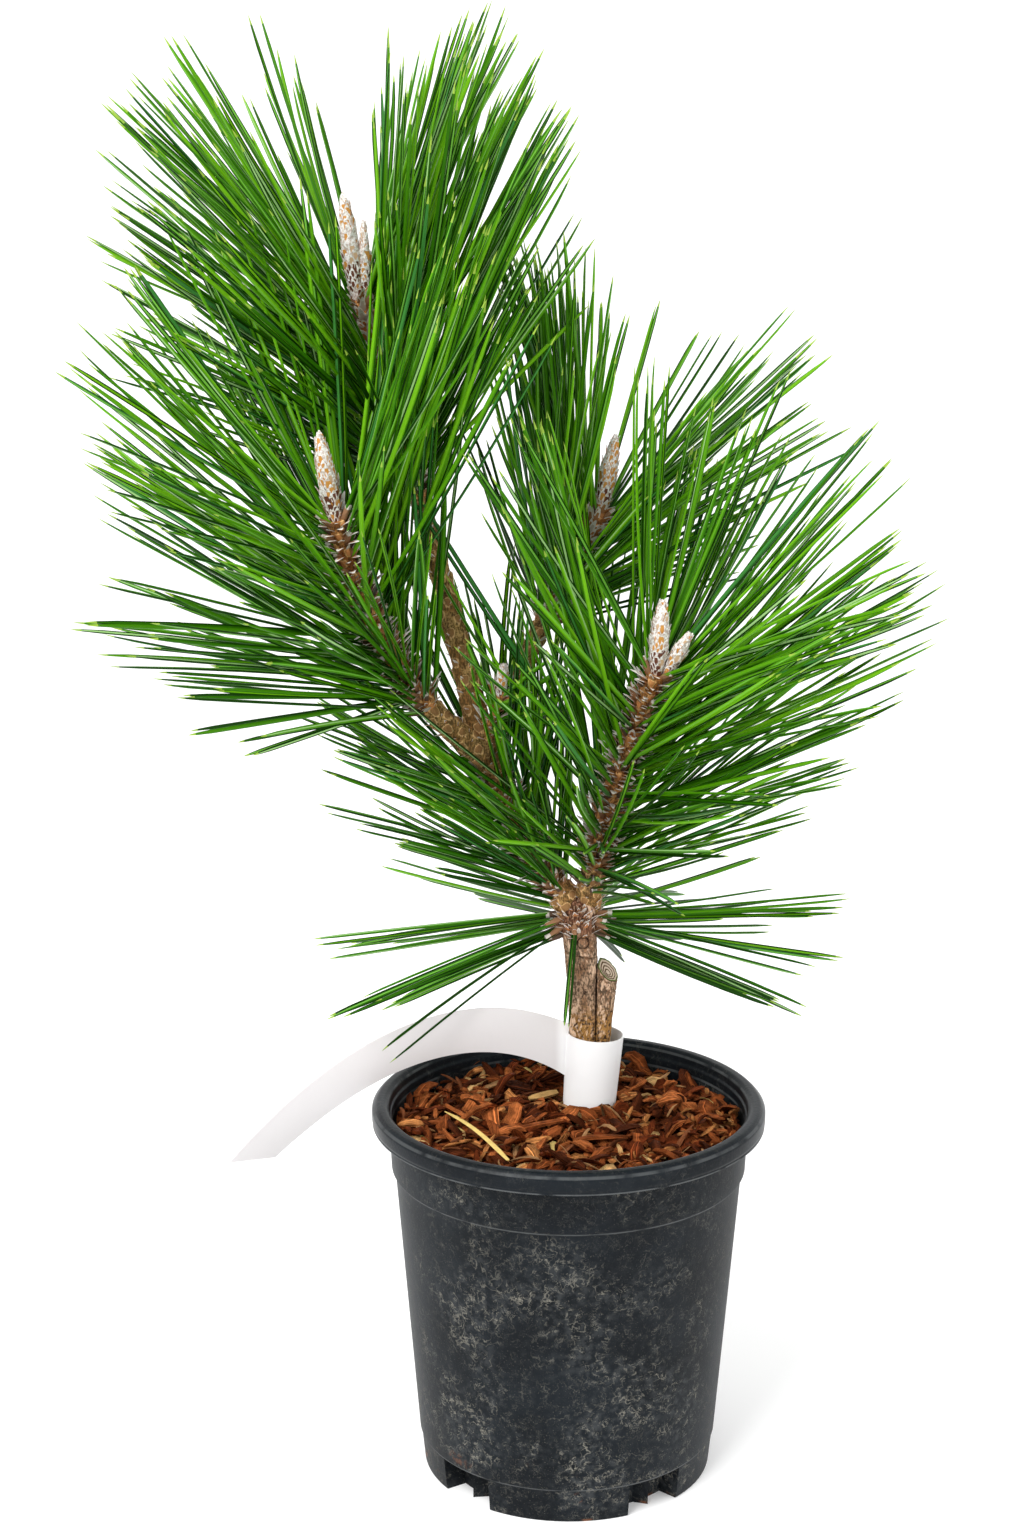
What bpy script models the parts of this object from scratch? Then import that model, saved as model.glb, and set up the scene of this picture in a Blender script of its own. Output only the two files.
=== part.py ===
"""Young Japanese black pine in a round nursery pot, with a blank strap label round its foot.

The frame is in metres with +Z up. The origin is the middle of the pot's flat underside, and
-Y is the front. Limbs are tapering tubes along bowed routes. Each mass of needles grows by one
seeded rule, golden angle round a stem, wide apart low down and closing towards the bud. The
stem of a mass is the end of its limb, or a sleeve of older bark threaded on a limb.
"""
import math
import random

import bmesh
import bpy
import numpy as np
from mathutils import kdtree

MM = 0.001
GAP = 0.3 * MM
GOLDEN_ANGLE = math.radians(137.508)
SEED = 11

# Pot, a trade gallon nursery pot
POT_STEPS = 44
POT_HEIGHT = 162.5 * MM
RIM_RADIUS = 82.5 * MM
RIM_DEPTH = 9.0 * MM
RIM_WALL = 1.9 * MM
POT_WALL = 1.5 * MM
FOOT_RADIUS = 61.2 * MM
SKIRT_HEIGHT = 15.0 * MM
SKIRT_TOP_RADIUS = 62.7 * MM
SHOULDER_HEIGHT = 133.0 * MM
SHOULDER_RADIUS = 72.9 * MM
BAND_RADIUS = 74.4 * MM
NECK_RADIUS = 75.6 * MM
FLOOR_THICKNESS = 2.5 * MM
SKIRT_STEP = 0.6 * MM
SHOULDER_STEP = 1.4 * MM
LIP_ROUND = 0.9 * MM
LIP_DROP = 3.4 * MM
CUT_OVERRUN = 2.0 * MM
SECTOR_STEPS = 6

# Drain pockets cut into the pot's skirt, each with a pointed rib standing in it
POCKET_ANGLES = tuple(math.radians(a) for a in (-44.5, 35.5, 135.5, -144.5))
POCKET_HALF_ANGLE = math.radians(12.0)
POCKET_BACK_RADIUS = 52.0 * MM
POCKET_HEIGHT = 14.6 * MM
POCKET_WALL = 1.5 * MM
RIB_HALF_WIDTH = 4.6 * MM
RIB_EDGE_RADIUS = 57.0 * MM

MIX_TOP = 150.0 * MM
MIX_TOP_RADIUS = NECK_RADIUS - POT_WALL - 0.2 * MM

# Trunk with its sawn-off first leader
TRUNK_FOOT = np.array((9.3, 22.0, 150.3)) * MM
TRUNK_TOP = np.array((3.5, 22.0, 243.0)) * MM
TRUNK_BOW = np.array((0.6, 0.0, 0.0)) * MM
TRUNK_RADIUS = 6.7 * MM
TRUNK_FLARE = 3.1 * MM
TRUNK_FORK_SWELL = 2.0 * MM
STUB_FOOT = np.array((11.5, 20.5, 158.0)) * MM
STUB_TOP = np.array((16.8, 20.0, 214.5)) * MM
STUB_RADIUS = 4.4 * MM
STUB_CUT_SLOPE = 0.6

# Label strap: a collar round the trunk and a tail arching over the rim
COLLAR_FOOT = np.array((9.2, 22.0, 151.4)) * MM
COLLAR_TOP = np.array((11.6, 22.0, 184.0)) * MM
COLLAR_FOOT_RADIUS = 11.2 * MM
COLLAR_TOP_RADIUS = 12.1 * MM
COLLAR_SIDES = 28
STRAP_THICKNESS = 0.5 * MM
STRAP_WIDTH = 20.0 * MM
TAIL_START = np.array((-2.0, 20.0, 178.0)) * MM
TAIL_RISE = np.array((-25.0, 12.0, 194.0)) * MM
TAIL_FALL = np.array((-72.0, -2.0, 204.0)) * MM
TAIL_END = np.array((-132.0, -14.0, 141.0)) * MM
TAIL_END_LEAN = math.radians(32.0)
TAIL_START_SLANT = 0.7
TAIL_END_SLANT = 0.6
TAIL_SEGMENTS = 18

# Limbs: where each one starts and ends, how far its middle bows aside, and its radii
LIMB_SIDES = 12
TRUNK_SIDES = 16
TRUNK_RINGS = 14
WHORL = np.array((-36.0, 5.0, 314.5)) * MM
LIMBS = {
    "bough_leader": {
        "foot": np.array((-0.6, 22.0, 243.3)) * MM, "tip": WHORL,
        "bow": np.array((-2.0, 3.0, -3.0)) * MM, "radii": (5.2 * MM, 4.7 * MM)},
    "top": {
        "foot": np.array((-36.0, 5.2, 315.6)) * MM, "tip": np.array((-85.0, 20.0, 493.0)) * MM,
        "bow": np.array((2.0, -1.5, 2.0)) * MM, "radii": (4.9 * MM, 3.3 * MM)},
    "left": {
        "foot": np.array((-38.0, 2.0, 314.0)) * MM, "tip": np.array((-91.0, -45.0, 416.0)) * MM,
        "bow": np.array((-7.0, 3.0, -9.0)) * MM, "radii": (4.8 * MM, 3.4 * MM)},
    "middle": {
        "foot": np.array((-32.0, 7.5, 315.5)) * MM, "tip": np.array((13.0, 50.0, 403.0)) * MM,
        "bow": np.array((-1.5, -3.0, 2.0)) * MM, "radii": (4.2 * MM, 3.2 * MM)},
    "short": {
        "foot": np.array((-34.0, 3.0, 317.0)) * MM, "tip": np.array((-28.5, -6.0, 338.0)) * MM,
        "bow": np.array((0.0, 0.0, 0.0)) * MM, "radii": (2.2 * MM, 1.9 * MM)},
    "right": {
        "foot": np.array((8.0, 21.5, 243.3)) * MM, "tip": np.array((33.4, -28.0, 352.0)) * MM,
        "bow": np.array((-2.5, -2.0, 2.0)) * MM, "radii": (4.6 * MM, 3.6 * MM)},
}

# Shoots: the share of the limb that stays bare wood, and the needles and buds beyond it.
# A bud is given by its offset sideways, its lean in degrees, its length and its radius.
SHOOTS = {
    "top": {"bare": 0.55, "count": 140, "length": 130 * MM, "spread": (50, 36), "lift": 0.03,
            "turn_up": 0.8,
            "buds": ((0.0, 0.0, 41 * MM, 3.9 * MM), (6.5 * MM, 7.0, 29 * MM, 2.0 * MM))},
    "left": {"bare": 0.26, "count": 136, "length": 134 * MM, "spread": (38, 38), "lift": 0.03,
             "turn_up": 0.15,
             "buds": ((0.0, -5.0, 33 * MM, 4.2 * MM),)},
    "middle": {"bare": 0.50, "count": 84, "length": 120 * MM, "spread": (40, 28), "lift": 0.03,
               "turn_up": 0.8,
               "buds": ((0.0, 0.0, 31 * MM, 4.0 * MM),)},
    "short": {"bare": 0.0, "count": 12, "length": 30 * MM, "spread": (60, 25), "lift": 0.0,
              "turn_up": 0.0,
              "buds": ((0.0, 0.0, 12 * MM, 2.4 * MM),)},
    "right": {"bare": 0.14, "count": 146, "length": 134 * MM, "spread": (44, 38), "lift": 0.03,
              "turn_up": 0.0,
              "buds": ((0.0, -4.0, 29 * MM, 4.2 * MM), (7.0 * MM, 20.0, 18 * MM, 2.7 * MM))},
}
BUD_TURN_UP = 0.6
BUD_SIDES = 8
BUD_ROOT_DEPTH = 2.0 * MM
BUD_OFFSET_SHARE = 0.4

# Sleeves: old bark with needles, threaded on a limb that runs on through them
SLEEVE_WALL = 1.7 * MM
SLEEVES = {
    "needles_leader": {"limb": "bough_leader", "from": 0.15, "to": 0.86, "count": 84,
                       "length": 88 * MM, "spread": (36, 30), "lift": 0.02,
                       "turn_up": 0.0},
    "needles_fork": {"limb": "trunk", "from": 0.86, "to": 0.985, "count": 60,
                     "length": 104 * MM, "spread": (114, 86), "lift": 0.0,
                     "turn_up": 0.0},
}

# Needles
NEEDLE_RADIUS = 0.86 * MM
NEEDLE_ROOT_RADIUS = 0.66 * MM
NEEDLE_FULLEST = 0.55
NEEDLE_ROOT_DEPTH = 1.3 * MM
SLEEVE_ROOT_DEPTH = 0.75 * MM
NEEDLE_LENGTH_SPREAD = 0.06
NEEDLE_ANGLE_SPREAD = math.radians(10.0)
NEEDLE_LOW_LENGTH = 0.70
NEEDLE_TOP_LENGTH = 0.84
SPINE_SHARE = 0.45
SPACE_FROM = 0.3
LIMB_CLEARANCE = 1.3 * MM
NEEDLE_CLEARANCE = 3.0 * MM
RIM_CLEARANCE = 4.0 * MM
STUB_CLEARANCE = 2.0 * MM
ROUTE_SAMPLES = 60
NEEDLE_SAMPLES = 48
OWN_LIMB_FROM = 12
STEM_POINTS = 8

# Colour, roughness and metallic value of each finish
FINISHES = {
    "moulded_black": ((0.028, 0.037, 0.044), 0.55, 0.0),
    "bark_mulch": ((0.150, 0.052, 0.022), 0.9, 0.0),
    "bark": ((0.170, 0.100, 0.058), 0.85, 0.0),
    "label_white": ((0.820, 0.820, 0.820), 0.45, 0.0),
    "needle_green": ((0.055, 0.190, 0.030), 0.5, 0.0),
}


def finish_material(name):
    """One Principled material made from the finish of that name."""
    colour, roughness, metallic = FINISHES[name]
    material = bpy.data.materials.new(name)
    material.use_nodes = True
    shader = material.node_tree.nodes["Principled BSDF"]
    shader.inputs["Base Color"].default_value = (*colour, 1.0)
    shader.inputs["Roughness"].default_value = roughness
    shader.inputs["Metallic"].default_value = metallic
    return material


def new_object(name, mesh, collection=None):
    """An object that holds the mesh, linked to the scene or to a collection of operands."""
    piece = bpy.data.objects.new(name, mesh)
    (collection or bpy.context.scene.collection).objects.link(piece)
    return piece


def mesh_from(name, verts, faces):
    """A mesh with its faces turned outwards."""
    mesh = bpy.data.meshes.new(name)
    mesh.from_pydata([tuple(v) for v in verts], [], faces)
    bm = bmesh.new()
    bm.from_mesh(mesh)
    bmesh.ops.recalc_face_normals(bm, faces=bm.faces)
    bm.to_mesh(mesh)
    bm.free()
    return mesh


def apply_modifiers(piece):
    """Replace the object's mesh by what its modifiers make of it."""
    depsgraph = bpy.context.evaluated_depsgraph_get()
    mesh = bpy.data.meshes.new_from_object(piece.evaluated_get(depsgraph))
    piece.modifiers.clear()
    piece.data = mesh


def combine(piece, operands, operation):
    """One Boolean with a whole collection, applied, after which the collection is removed."""
    modifier = piece.modifiers.new(operation.title(), "BOOLEAN")
    modifier.operation = operation
    modifier.operand_type = "COLLECTION"
    modifier.collection = operands
    modifier.solver = "EXACT"
    apply_modifiers(piece)
    for operand in list(operands.objects):
        bpy.data.objects.remove(operand)
    bpy.data.collections.remove(operands)


def operand_collection(name):
    """An empty collection for the operands of one Boolean."""
    operands = bpy.data.collections.new(name)
    bpy.context.scene.collection.children.link(operands)
    return operands


def keep_largest_body(piece):
    """Drop loose scraps: only the connected body with the most faces stays."""
    bm = bmesh.new()
    bm.from_mesh(piece.data)
    left = set(bm.faces)
    bodies = []
    while left:
        stack = [left.pop()]
        body = set(stack)
        while stack:
            for edge in stack.pop().edges:
                fresh = [f for f in edge.link_faces if f in left]
                left.difference_update(fresh)
                body.update(fresh)
                stack.extend(fresh)
        bodies.append(body)
    bodies.sort(key=len)
    scraps = [face for body in bodies[:-1] for face in body]
    bmesh.ops.delete(bm, geom=scraps, context="FACES")
    bm.to_mesh(piece.data)
    bm.free()


def turned_solid(name, profile):
    """A profile of (radius, height) points, from axis to axis, spun round Z."""
    bm = bmesh.new()
    verts = [bm.verts.new((radius, 0.0, height)) for radius, height in profile]
    edges = [bm.edges.new(pair) for pair in zip(verts, verts[1:])]
    bmesh.ops.spin(bm, geom=verts + edges, cent=(0, 0, 0), axis=(0, 0, 1),
                   angle=math.tau, steps=POT_STEPS, use_merge=True)
    bmesh.ops.remove_doubles(bm, verts=bm.verts, dist=0.001 * MM)
    bmesh.ops.recalc_face_normals(bm, faces=bm.faces)
    mesh = bpy.data.meshes.new(name)
    bm.to_mesh(mesh)
    bm.free()
    return mesh


def sector_mesh(name, angle, half_angle, inner, outer_low, outer_high, bottom, top):
    """A block of a ring: from an inner radius to a sloping outer wall, about one bearing."""
    bearings = np.linspace(angle - half_angle, angle + half_angle, SECTOR_STEPS + 1)
    corners = ((inner, bottom), (outer_low, bottom), (outer_high, top), (inner, top))
    verts = [(r * math.sin(a), -r * math.cos(a), z) for a in bearings for r, z in corners]
    faces = []
    for step in range(SECTOR_STEPS):
        low = 4 * step
        for side in range(4):
            after = (side + 1) % 4
            faces.append((low + side, low + after, low + 4 + after, low + 4 + side))
    faces.append((0, 1, 2, 3))
    faces.append(tuple(4 * SECTOR_STEPS + side for side in (3, 2, 1, 0)))
    return mesh_from(name, verts, faces)


def rib_mesh(name, angle):
    """A drain rib: an upright prism, taller than its pocket, whose sharp edge looks outwards."""
    back = POCKET_BACK_RADIUS - 0.5 * POCKET_WALL
    plan = ((back, -RIB_HALF_WIDTH), (RIB_EDGE_RADIUS, 0.0), (back, RIB_HALF_WIDTH))
    verts = []
    for height in (-2.0 * CUT_OVERRUN, POCKET_HEIGHT + 2.0 * CUT_OVERRUN):
        for out, across in plan:
            verts.append((out * math.sin(angle) + across * math.cos(angle),
                          -out * math.cos(angle) + across * math.sin(angle), height))
    faces = ((0, 1, 2), (3, 4, 5), (0, 1, 4, 3), (1, 2, 5, 4), (2, 0, 3, 5))
    return mesh_from(name, verts, faces)


def wall_radius(height):
    """Outer radius of the pot's tapering wall between skirt and shoulder."""
    share = (height - SKIRT_HEIGHT) / (SHOULDER_HEIGHT - SKIRT_HEIGHT)
    foot = SKIRT_TOP_RADIUS + SKIRT_STEP
    return foot + share * (SHOULDER_RADIUS - foot)


def inner_profile(clearance):
    """The pot's inside from floor to neck, as (radius, height), drawn in by a clearance."""
    inset = POT_WALL + clearance
    return [
        (FOOT_RADIUS - inset + 0.1 * MM, FLOOR_THICKNESS + clearance),
        (wall_radius(SKIRT_HEIGHT + MM) - inset, SKIRT_HEIGHT + MM),
        (SHOULDER_RADIUS - inset, SHOULDER_HEIGHT + 0.5 * MM),
        (BAND_RADIUS - inset, SHOULDER_HEIGHT + 0.5 * MM + SHOULDER_STEP),
    ]


def build_pot():
    """The pot: turned wall with its turned-down rim, four drain pockets and their ribs."""
    lip_bottom = POT_HEIGHT - RIM_DEPTH
    lip_inner = RIM_RADIUS - RIM_WALL
    outer = [
        (0.0, 0.0),
        (FOOT_RADIUS, 0.0),
        (SKIRT_TOP_RADIUS, SKIRT_HEIGHT - 0.5 * SKIRT_STEP),
        (wall_radius(SKIRT_HEIGHT), SKIRT_HEIGHT + 0.5 * SKIRT_STEP),
        (SHOULDER_RADIUS, SHOULDER_HEIGHT),
        (BAND_RADIUS, SHOULDER_HEIGHT + SHOULDER_STEP),
        (NECK_RADIUS, POT_HEIGHT - LIP_DROP - 0.2 * MM),
        (lip_inner, POT_HEIGHT - LIP_DROP),
        (lip_inner, lip_bottom),
        (RIM_RADIUS - 0.4 * LIP_ROUND, lip_bottom),
        (RIM_RADIUS, lip_bottom + 1.5 * LIP_ROUND),
        (RIM_RADIUS, POT_HEIGHT - 3.0 * LIP_ROUND),
        (RIM_RADIUS - LIP_ROUND, POT_HEIGHT - LIP_ROUND),
        (RIM_RADIUS - 3.0 * LIP_ROUND, POT_HEIGHT),
        (NECK_RADIUS + 2.0 * LIP_ROUND, POT_HEIGHT),
        (NECK_RADIUS, POT_HEIGHT - LIP_ROUND),
        (NECK_RADIUS - 0.7 * LIP_ROUND, POT_HEIGHT - 3.0 * LIP_ROUND),
        (MIX_TOP_RADIUS, MIX_TOP),
    ]
    inner = list(reversed(inner_profile(0.0))) + [(0.0, FLOOR_THICKNESS)]
    pot = new_object("pot", turned_solid("pot", outer + inner))
    shells = operand_collection("pocket shells")
    pockets = operand_collection("pockets")
    wall_angle = POCKET_WALL / POCKET_BACK_RADIUS
    for angle in POCKET_ANGLES:
        new_object("shell", sector_mesh(
            "shell", angle, POCKET_HALF_ANGLE + wall_angle, POCKET_BACK_RADIUS - POCKET_WALL,
            FOOT_RADIUS - 0.4 * MM, SKIRT_TOP_RADIUS - 0.3 * MM,
            0.5 * FLOOR_THICKNESS, POCKET_HEIGHT + POCKET_WALL), shells)
        pocket = new_object("pocket", sector_mesh(
            "pocket", angle, POCKET_HALF_ANGLE, POCKET_BACK_RADIUS,
            RIM_RADIUS, RIM_RADIUS, -CUT_OVERRUN, POCKET_HEIGHT), pockets)
        rib = operand_collection("rib")
        new_object("rib", rib_mesh("rib", angle), rib)
        combine(pocket, rib, "DIFFERENCE")
    combine(pot, shells, "UNION")
    combine(pot, pockets, "DIFFERENCE")
    return pot


def build_mix():
    """The potting mix: fills the pot to a little below the rim, round the drain pockets."""
    profile = [(0.0, FLOOR_THICKNESS + GAP)] + inner_profile(GAP)
    profile += [(MIX_TOP_RADIUS - GAP, MIX_TOP), (0.0, MIX_TOP)]
    mix = new_object("potting_mix", turned_solid("potting_mix", profile))
    hollows = operand_collection("hollows")
    reach = POCKET_WALL + GAP
    for angle in POCKET_ANGLES:
        new_object("hollow", sector_mesh(
            "hollow", angle, POCKET_HALF_ANGLE + 1.1 * reach / POCKET_BACK_RADIUS,
            POCKET_BACK_RADIUS - reach, RIM_RADIUS, RIM_RADIUS,
            -CUT_OVERRUN, POCKET_HEIGHT + reach), hollows)
    combine(mix, hollows, "DIFFERENCE")
    return mix


def bowed(foot, tip, bow, shares):
    """Points on a bowed route: the straight run plus a bow that is fullest half way."""
    shares = np.asarray(shares, dtype=float)[:, None]
    return foot + shares * (tip - foot) + 4.0 * shares * (1.0 - shares) * bow


def directions_along(points):
    """Unit directions of a route at each of its points."""
    steps = np.gradient(points, axis=0)
    return steps / np.linalg.norm(steps, axis=1)[:, None]


def frames_along(directions):
    """Two unit vectors across the route at each point, carried along without twisting."""
    first = np.cross(directions[0], (0.0, 1.0, 0.0))
    first /= np.linalg.norm(first)
    across = [first]
    for direction in directions[1:]:
        carried = across[-1] - direction * np.dot(across[-1], direction)
        across.append(carried / np.linalg.norm(carried))
    across = np.array(across)
    return across, np.cross(directions, across)


def skin_faces(rings, sides, closed=False):
    """Quads between neighbouring rings of points, and from the last to the first if closed."""
    faces = []
    for ring in range(rings if closed else rings - 1):
        low = ring * sides
        high = (ring + 1) % rings * sides
        for side in range(sides):
            after = (side + 1) % sides
            faces.append((low + side, low + after, high + after, high + side))
    return faces


def tube_rings(points, radii, sides):
    """Rings of points round a route, one ring for each of its points."""
    across, along = frames_along(directions_along(points))
    angles = np.linspace(0.0, math.tau, sides, endpoint=False)[None, :, None]
    ring = np.cos(angles) * across[:, None] + np.sin(angles) * along[:, None]
    return points[:, None] + ring * np.asarray(radii)[:, None, None]


def tube_mesh(name, points, radii, sides=LIMB_SIDES, end_slope=0.0, level_foot=False):
    """A tapering tube with flat ends.

    A slope on the last ring makes it a slanting cut, and a level foot is cut flat along XY.
    """
    verts = tube_rings(points, radii, sides)
    rings = len(points)
    if level_foot:
        verts[0, :, 2] = points[0, 2]
    if end_slope:
        lean = (verts[-1] - points[-1])[:, :1]
        verts[-1] -= end_slope * lean * directions_along(points)[-1]
    faces = skin_faces(rings, sides)
    faces.append(tuple(range(sides)))
    faces.append(tuple(range((rings - 1) * sides, rings * sides)))
    return mesh_from(name, verts.reshape(-1, 3), faces)


def sleeve_mesh(name, points, radii, wall, sides):
    """A wall round a route, open at both ends: outer skin up, inner skin down."""
    outer = tube_rings(points, np.asarray(radii) + wall, sides)
    inner = tube_rings(points, radii, sides)[::-1]
    verts = np.concatenate((outer, inner))
    faces = skin_faces(2 * len(points), sides, closed=True)
    return mesh_from(name, verts.reshape(-1, 3), faces)


def limb_points(name, start=0.0, end=1.0, count=7):
    """Points and radii of a stretch of a named limb, trunk included."""
    shares = np.linspace(start, end, count)
    if name == "trunk":
        points = bowed(TRUNK_FOOT, TRUNK_TOP, TRUNK_BOW, shares)
        swell = np.clip((shares - 0.62) / 0.38, 0.0, 1.0) ** 2
        radii = TRUNK_RADIUS + TRUNK_FLARE * np.exp(-shares / 0.10) + TRUNK_FORK_SWELL * swell
        return points, radii
    limb = LIMBS[name]
    points = bowed(limb["foot"], limb["tip"], limb["bow"], shares)
    radii = limb["radii"][0] + shares * (limb["radii"][1] - limb["radii"][0])
    return points, radii


def build_trunk():
    """The trunk from its flared foot to the fork, with the sawn-off first leader fused on."""
    trunk = new_object("trunk", tube_mesh(
        "trunk", *limb_points("trunk", count=TRUNK_RINGS), sides=TRUNK_SIDES, level_foot=True))
    stubs = operand_collection("stubs")
    shares = np.linspace(0.0, 1.0, 5)
    points = bowed(STUB_FOOT, STUB_TOP, np.zeros(3), shares)
    radii = np.full(len(points), STUB_RADIUS)
    new_object("stub", tube_mesh("stub", points, radii, end_slope=STUB_CUT_SLOPE), stubs)
    combine(trunk, stubs, "UNION")
    return trunk


def bare_share(name):
    """The share of a limb's length that stays bare wood below its needles."""
    return SHOOTS[name]["bare"] if name in SHOOTS else 1.0


def grown_limb(name, start, end, extra=0.0):
    """The tube of a stretch of a limb, made fatter and longer by an extra."""
    points, radii = limb_points(name, start, end)
    if extra:
        directions = directions_along(points)
        points[0] -= extra * directions[0]
        points[-1] += extra * directions[-1]
    return tube_mesh(name, points, radii + extra)


def cut_clear(piece, limbs):
    """Cut a piece 0.3 mm clear of the limbs that it meets at its foot."""
    cutters = operand_collection("cutters")
    for name in limbs:
        if name == "trunk":
            points, radii = limb_points("trunk", count=TRUNK_RINGS)
            points[-1] += GAP * directions_along(points)[-1]
            mesh = tube_mesh("cutter", points, radii + GAP, sides=TRUNK_SIDES)
        else:
            mesh = grown_limb(name, 0.0, bare_share(name), GAP)
        new_object("cutter", mesh, cutters)
    combine(piece, cutters, "DIFFERENCE")
    keep_largest_body(piece)


def build_boughs():
    """The bare stretch of each limb, each foot cut clear of the limbs that carry it."""
    feet = {
        "bough_leader": ("trunk",),
        "top": ("bough_leader",),
        "left": ("bough_leader", "top"),
        "middle": ("bough_leader", "top", "left"),
        "right": ("trunk", "bough_leader"),
    }
    boughs = []
    for name, carriers in feet.items():
        node = name if name.startswith("bough") else "bough_" + name
        bough = new_object(node, grown_limb(name, 0.0, bare_share(name)))
        cut_clear(bough, carriers)
        boughs.append(bough)
    return boughs


def bud_mesh(foot, direction, length, radius):
    """A bud like a cigar: narrow at its foot, fullest above its middle, with a blunt point."""
    shares = np.array((0.0, 0.12, 0.40, 0.70, 0.90, 1.0))
    fullness = np.array((0.60, 0.78, 1.0, 0.92, 0.50, 0.12))
    points = foot + shares[:, None] * length * direction
    return tube_mesh("bud", points, radius * fullness, sides=BUD_SIDES)


def bud_places(name):
    """Foot, direction, length and radius of each bud on a shoot, the end bud first."""
    points, radii = limb_points(name, 0.94, 1.0, 3)
    direction = directions_along(points)[-1]
    direction = (1.0 - BUD_TURN_UP) * direction + BUD_TURN_UP * np.array((0.0, 0.0, 1.0))
    direction /= np.linalg.norm(direction)
    side = np.cross((0.0, 1.0, 0.0), direction)
    side /= np.linalg.norm(side)
    places = []
    for offset, angle, length, radius in SHOOTS[name]["buds"]:
        tilt = math.radians(angle)
        heading = math.cos(tilt) * direction + math.sin(tilt) * side
        foot = points[-1] - BUD_ROOT_DEPTH * direction + BUD_OFFSET_SHARE * offset * side
        places.append((foot, heading, length + BUD_ROOT_DEPTH, radius))
    return places


def needle_rule(points, radii, spec, rng, depth):
    """Roots, directions, lifts and lengths of the needles of one mass.

    Needle k stands at share k / count along the stem and k golden angles round it. Its angle
    from the stem closes from the first spread to the second on the way up, where the whole
    tuft also turns towards upright. The lowest and highest needles are shorter than those
    between, and each root lies a depth below the stem's surface.
    """
    directions = directions_along(points)
    across, along = frames_along(directions)
    shares = np.linspace(0.0, 1.0, len(points))
    wide, narrow = (math.radians(angle) for angle in spec["spread"])
    needles = []
    for k in range(spec["count"]):
        share = (k + 0.5) / spec["count"]
        turn = k * GOLDEN_ANGLE
        centre, axis, first, second = (
            np.array([np.interp(share, shares, values[:, i]) for i in range(3)])
            for values in (points, directions, across, along))
        outward = math.cos(turn) * first + math.sin(turn) * second
        axis = axis + spec["turn_up"] * share * (np.array((0.0, 0.0, 1.0)) - axis)
        axis /= np.linalg.norm(axis)
        spread = wide + (narrow - wide) * share + rng.uniform(-1.0, 1.0) * NEEDLE_ANGLE_SPREAD
        grown = np.interp(share, (0.0, 0.33, 0.66, 1.0),
                          (NEEDLE_LOW_LENGTH, 1.0, 1.0, NEEDLE_TOP_LENGTH))
        heading = math.cos(spread) * axis + math.sin(spread) * outward
        radius = np.interp(share, shares, radii)
        length = spec["length"] * grown * (1.0 + rng.uniform(-1.0, 1.0) * NEEDLE_LENGTH_SPREAD)
        root = centre + outward * (radius - depth)
        needles.append((root, heading, spec["lift"] * length * axis, length))
    return needles


def needle_points(needle, shares):
    """Points along a needle: a straight run plus a lift that grows with the square."""
    root, heading, lift, length = needle
    shares = np.asarray(shares)[:, None]
    return root + shares * length * heading + shares ** 2 * lift


def needle_mesh(needle):
    """A three-sided needle: root, fullest a little past half way, and a sharp tip."""
    points = needle_points(needle, (0.0, NEEDLE_FULLEST, 1.0))
    directions = directions_along(points)
    across, along = frames_along(directions)
    verts = []
    for place, radius in ((0, NEEDLE_ROOT_RADIUS), (1, NEEDLE_RADIUS)):
        for corner in range(3):
            angle = corner * math.tau / 3.0
            verts.append(points[place] + radius * (
                math.cos(angle) * across[place] + math.sin(angle) * along[place]))
    verts.append(points[2])
    faces = [(0, 1, 2)]
    for corner in range(3):
        after = (corner + 1) % 3
        faces.append((corner, after, 3 + after, 3 + corner))
        faces.append((3 + corner, 3 + after, 6))
    return mesh_from("needle", verts, faces)


def distance_to_route(samples, route):
    """Distance of each sample from a route of points, and the index of the nearest point."""
    away = np.linalg.norm(samples[:, None] - route[None], axis=2)
    return away.min(axis=1), away.argmin(axis=1)


def tail_route(shares):
    """The strap's tail: one smooth arch from the collar over the rim to its free end."""
    on = np.asarray(shares, dtype=float)[:, None]
    back = 1.0 - on
    return (back ** 3 * TAIL_START + 3.0 * back ** 2 * on * TAIL_RISE
            + 3.0 * back * on ** 2 * TAIL_FALL + on ** 3 * TAIL_END)


def obstacles():
    """Routes and radii that no needle may touch: limbs, stub, collar and the strap's tail."""
    fences = {}
    for name in ["trunk"] + list(LIMBS):
        route, radii = limb_points(name, 0.0, 1.0, ROUTE_SAMPLES)
        if any(spec["limb"] == name for spec in SLEEVES.values()):
            radii = radii + SLEEVE_WALL + GAP
        if name in SHOOTS:
            foot, heading, length, radius = bud_places(name)[0]
            bud = foot + np.linspace(0.0, 1.0, ROUTE_SAMPLES // 4)[:, None] * length * heading
            route = np.vstack((route, bud))
            radii = np.concatenate((radii, np.full(len(bud), radius)))
        fences[name] = (route, radii)
    shares = np.linspace(0.0, 1.0, ROUTE_SAMPLES // 2)
    for name, route, radius in (
            ("stub", bowed(STUB_FOOT, STUB_TOP, np.zeros(3), shares), STUB_RADIUS + STUB_CLEARANCE),
            ("collar", bowed(COLLAR_FOOT, COLLAR_TOP, np.zeros(3), shares), COLLAR_TOP_RADIUS),
            ("tail", tail_route(shares), 0.5 * STRAP_WIDTH)):
        fences[name] = (route, np.full(len(route), radius))
    return fences


def mass_specs():
    """Node, spec, limb and stretch of every mass, shoots first."""
    specs = [("needles_" + name, spec, name, spec["bare"], 1.0) for name, spec in SHOOTS.items()]
    specs += [(node, spec, spec["limb"], spec["from"], spec["to"])
              for node, spec in SLEEVES.items()]
    return specs


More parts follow.
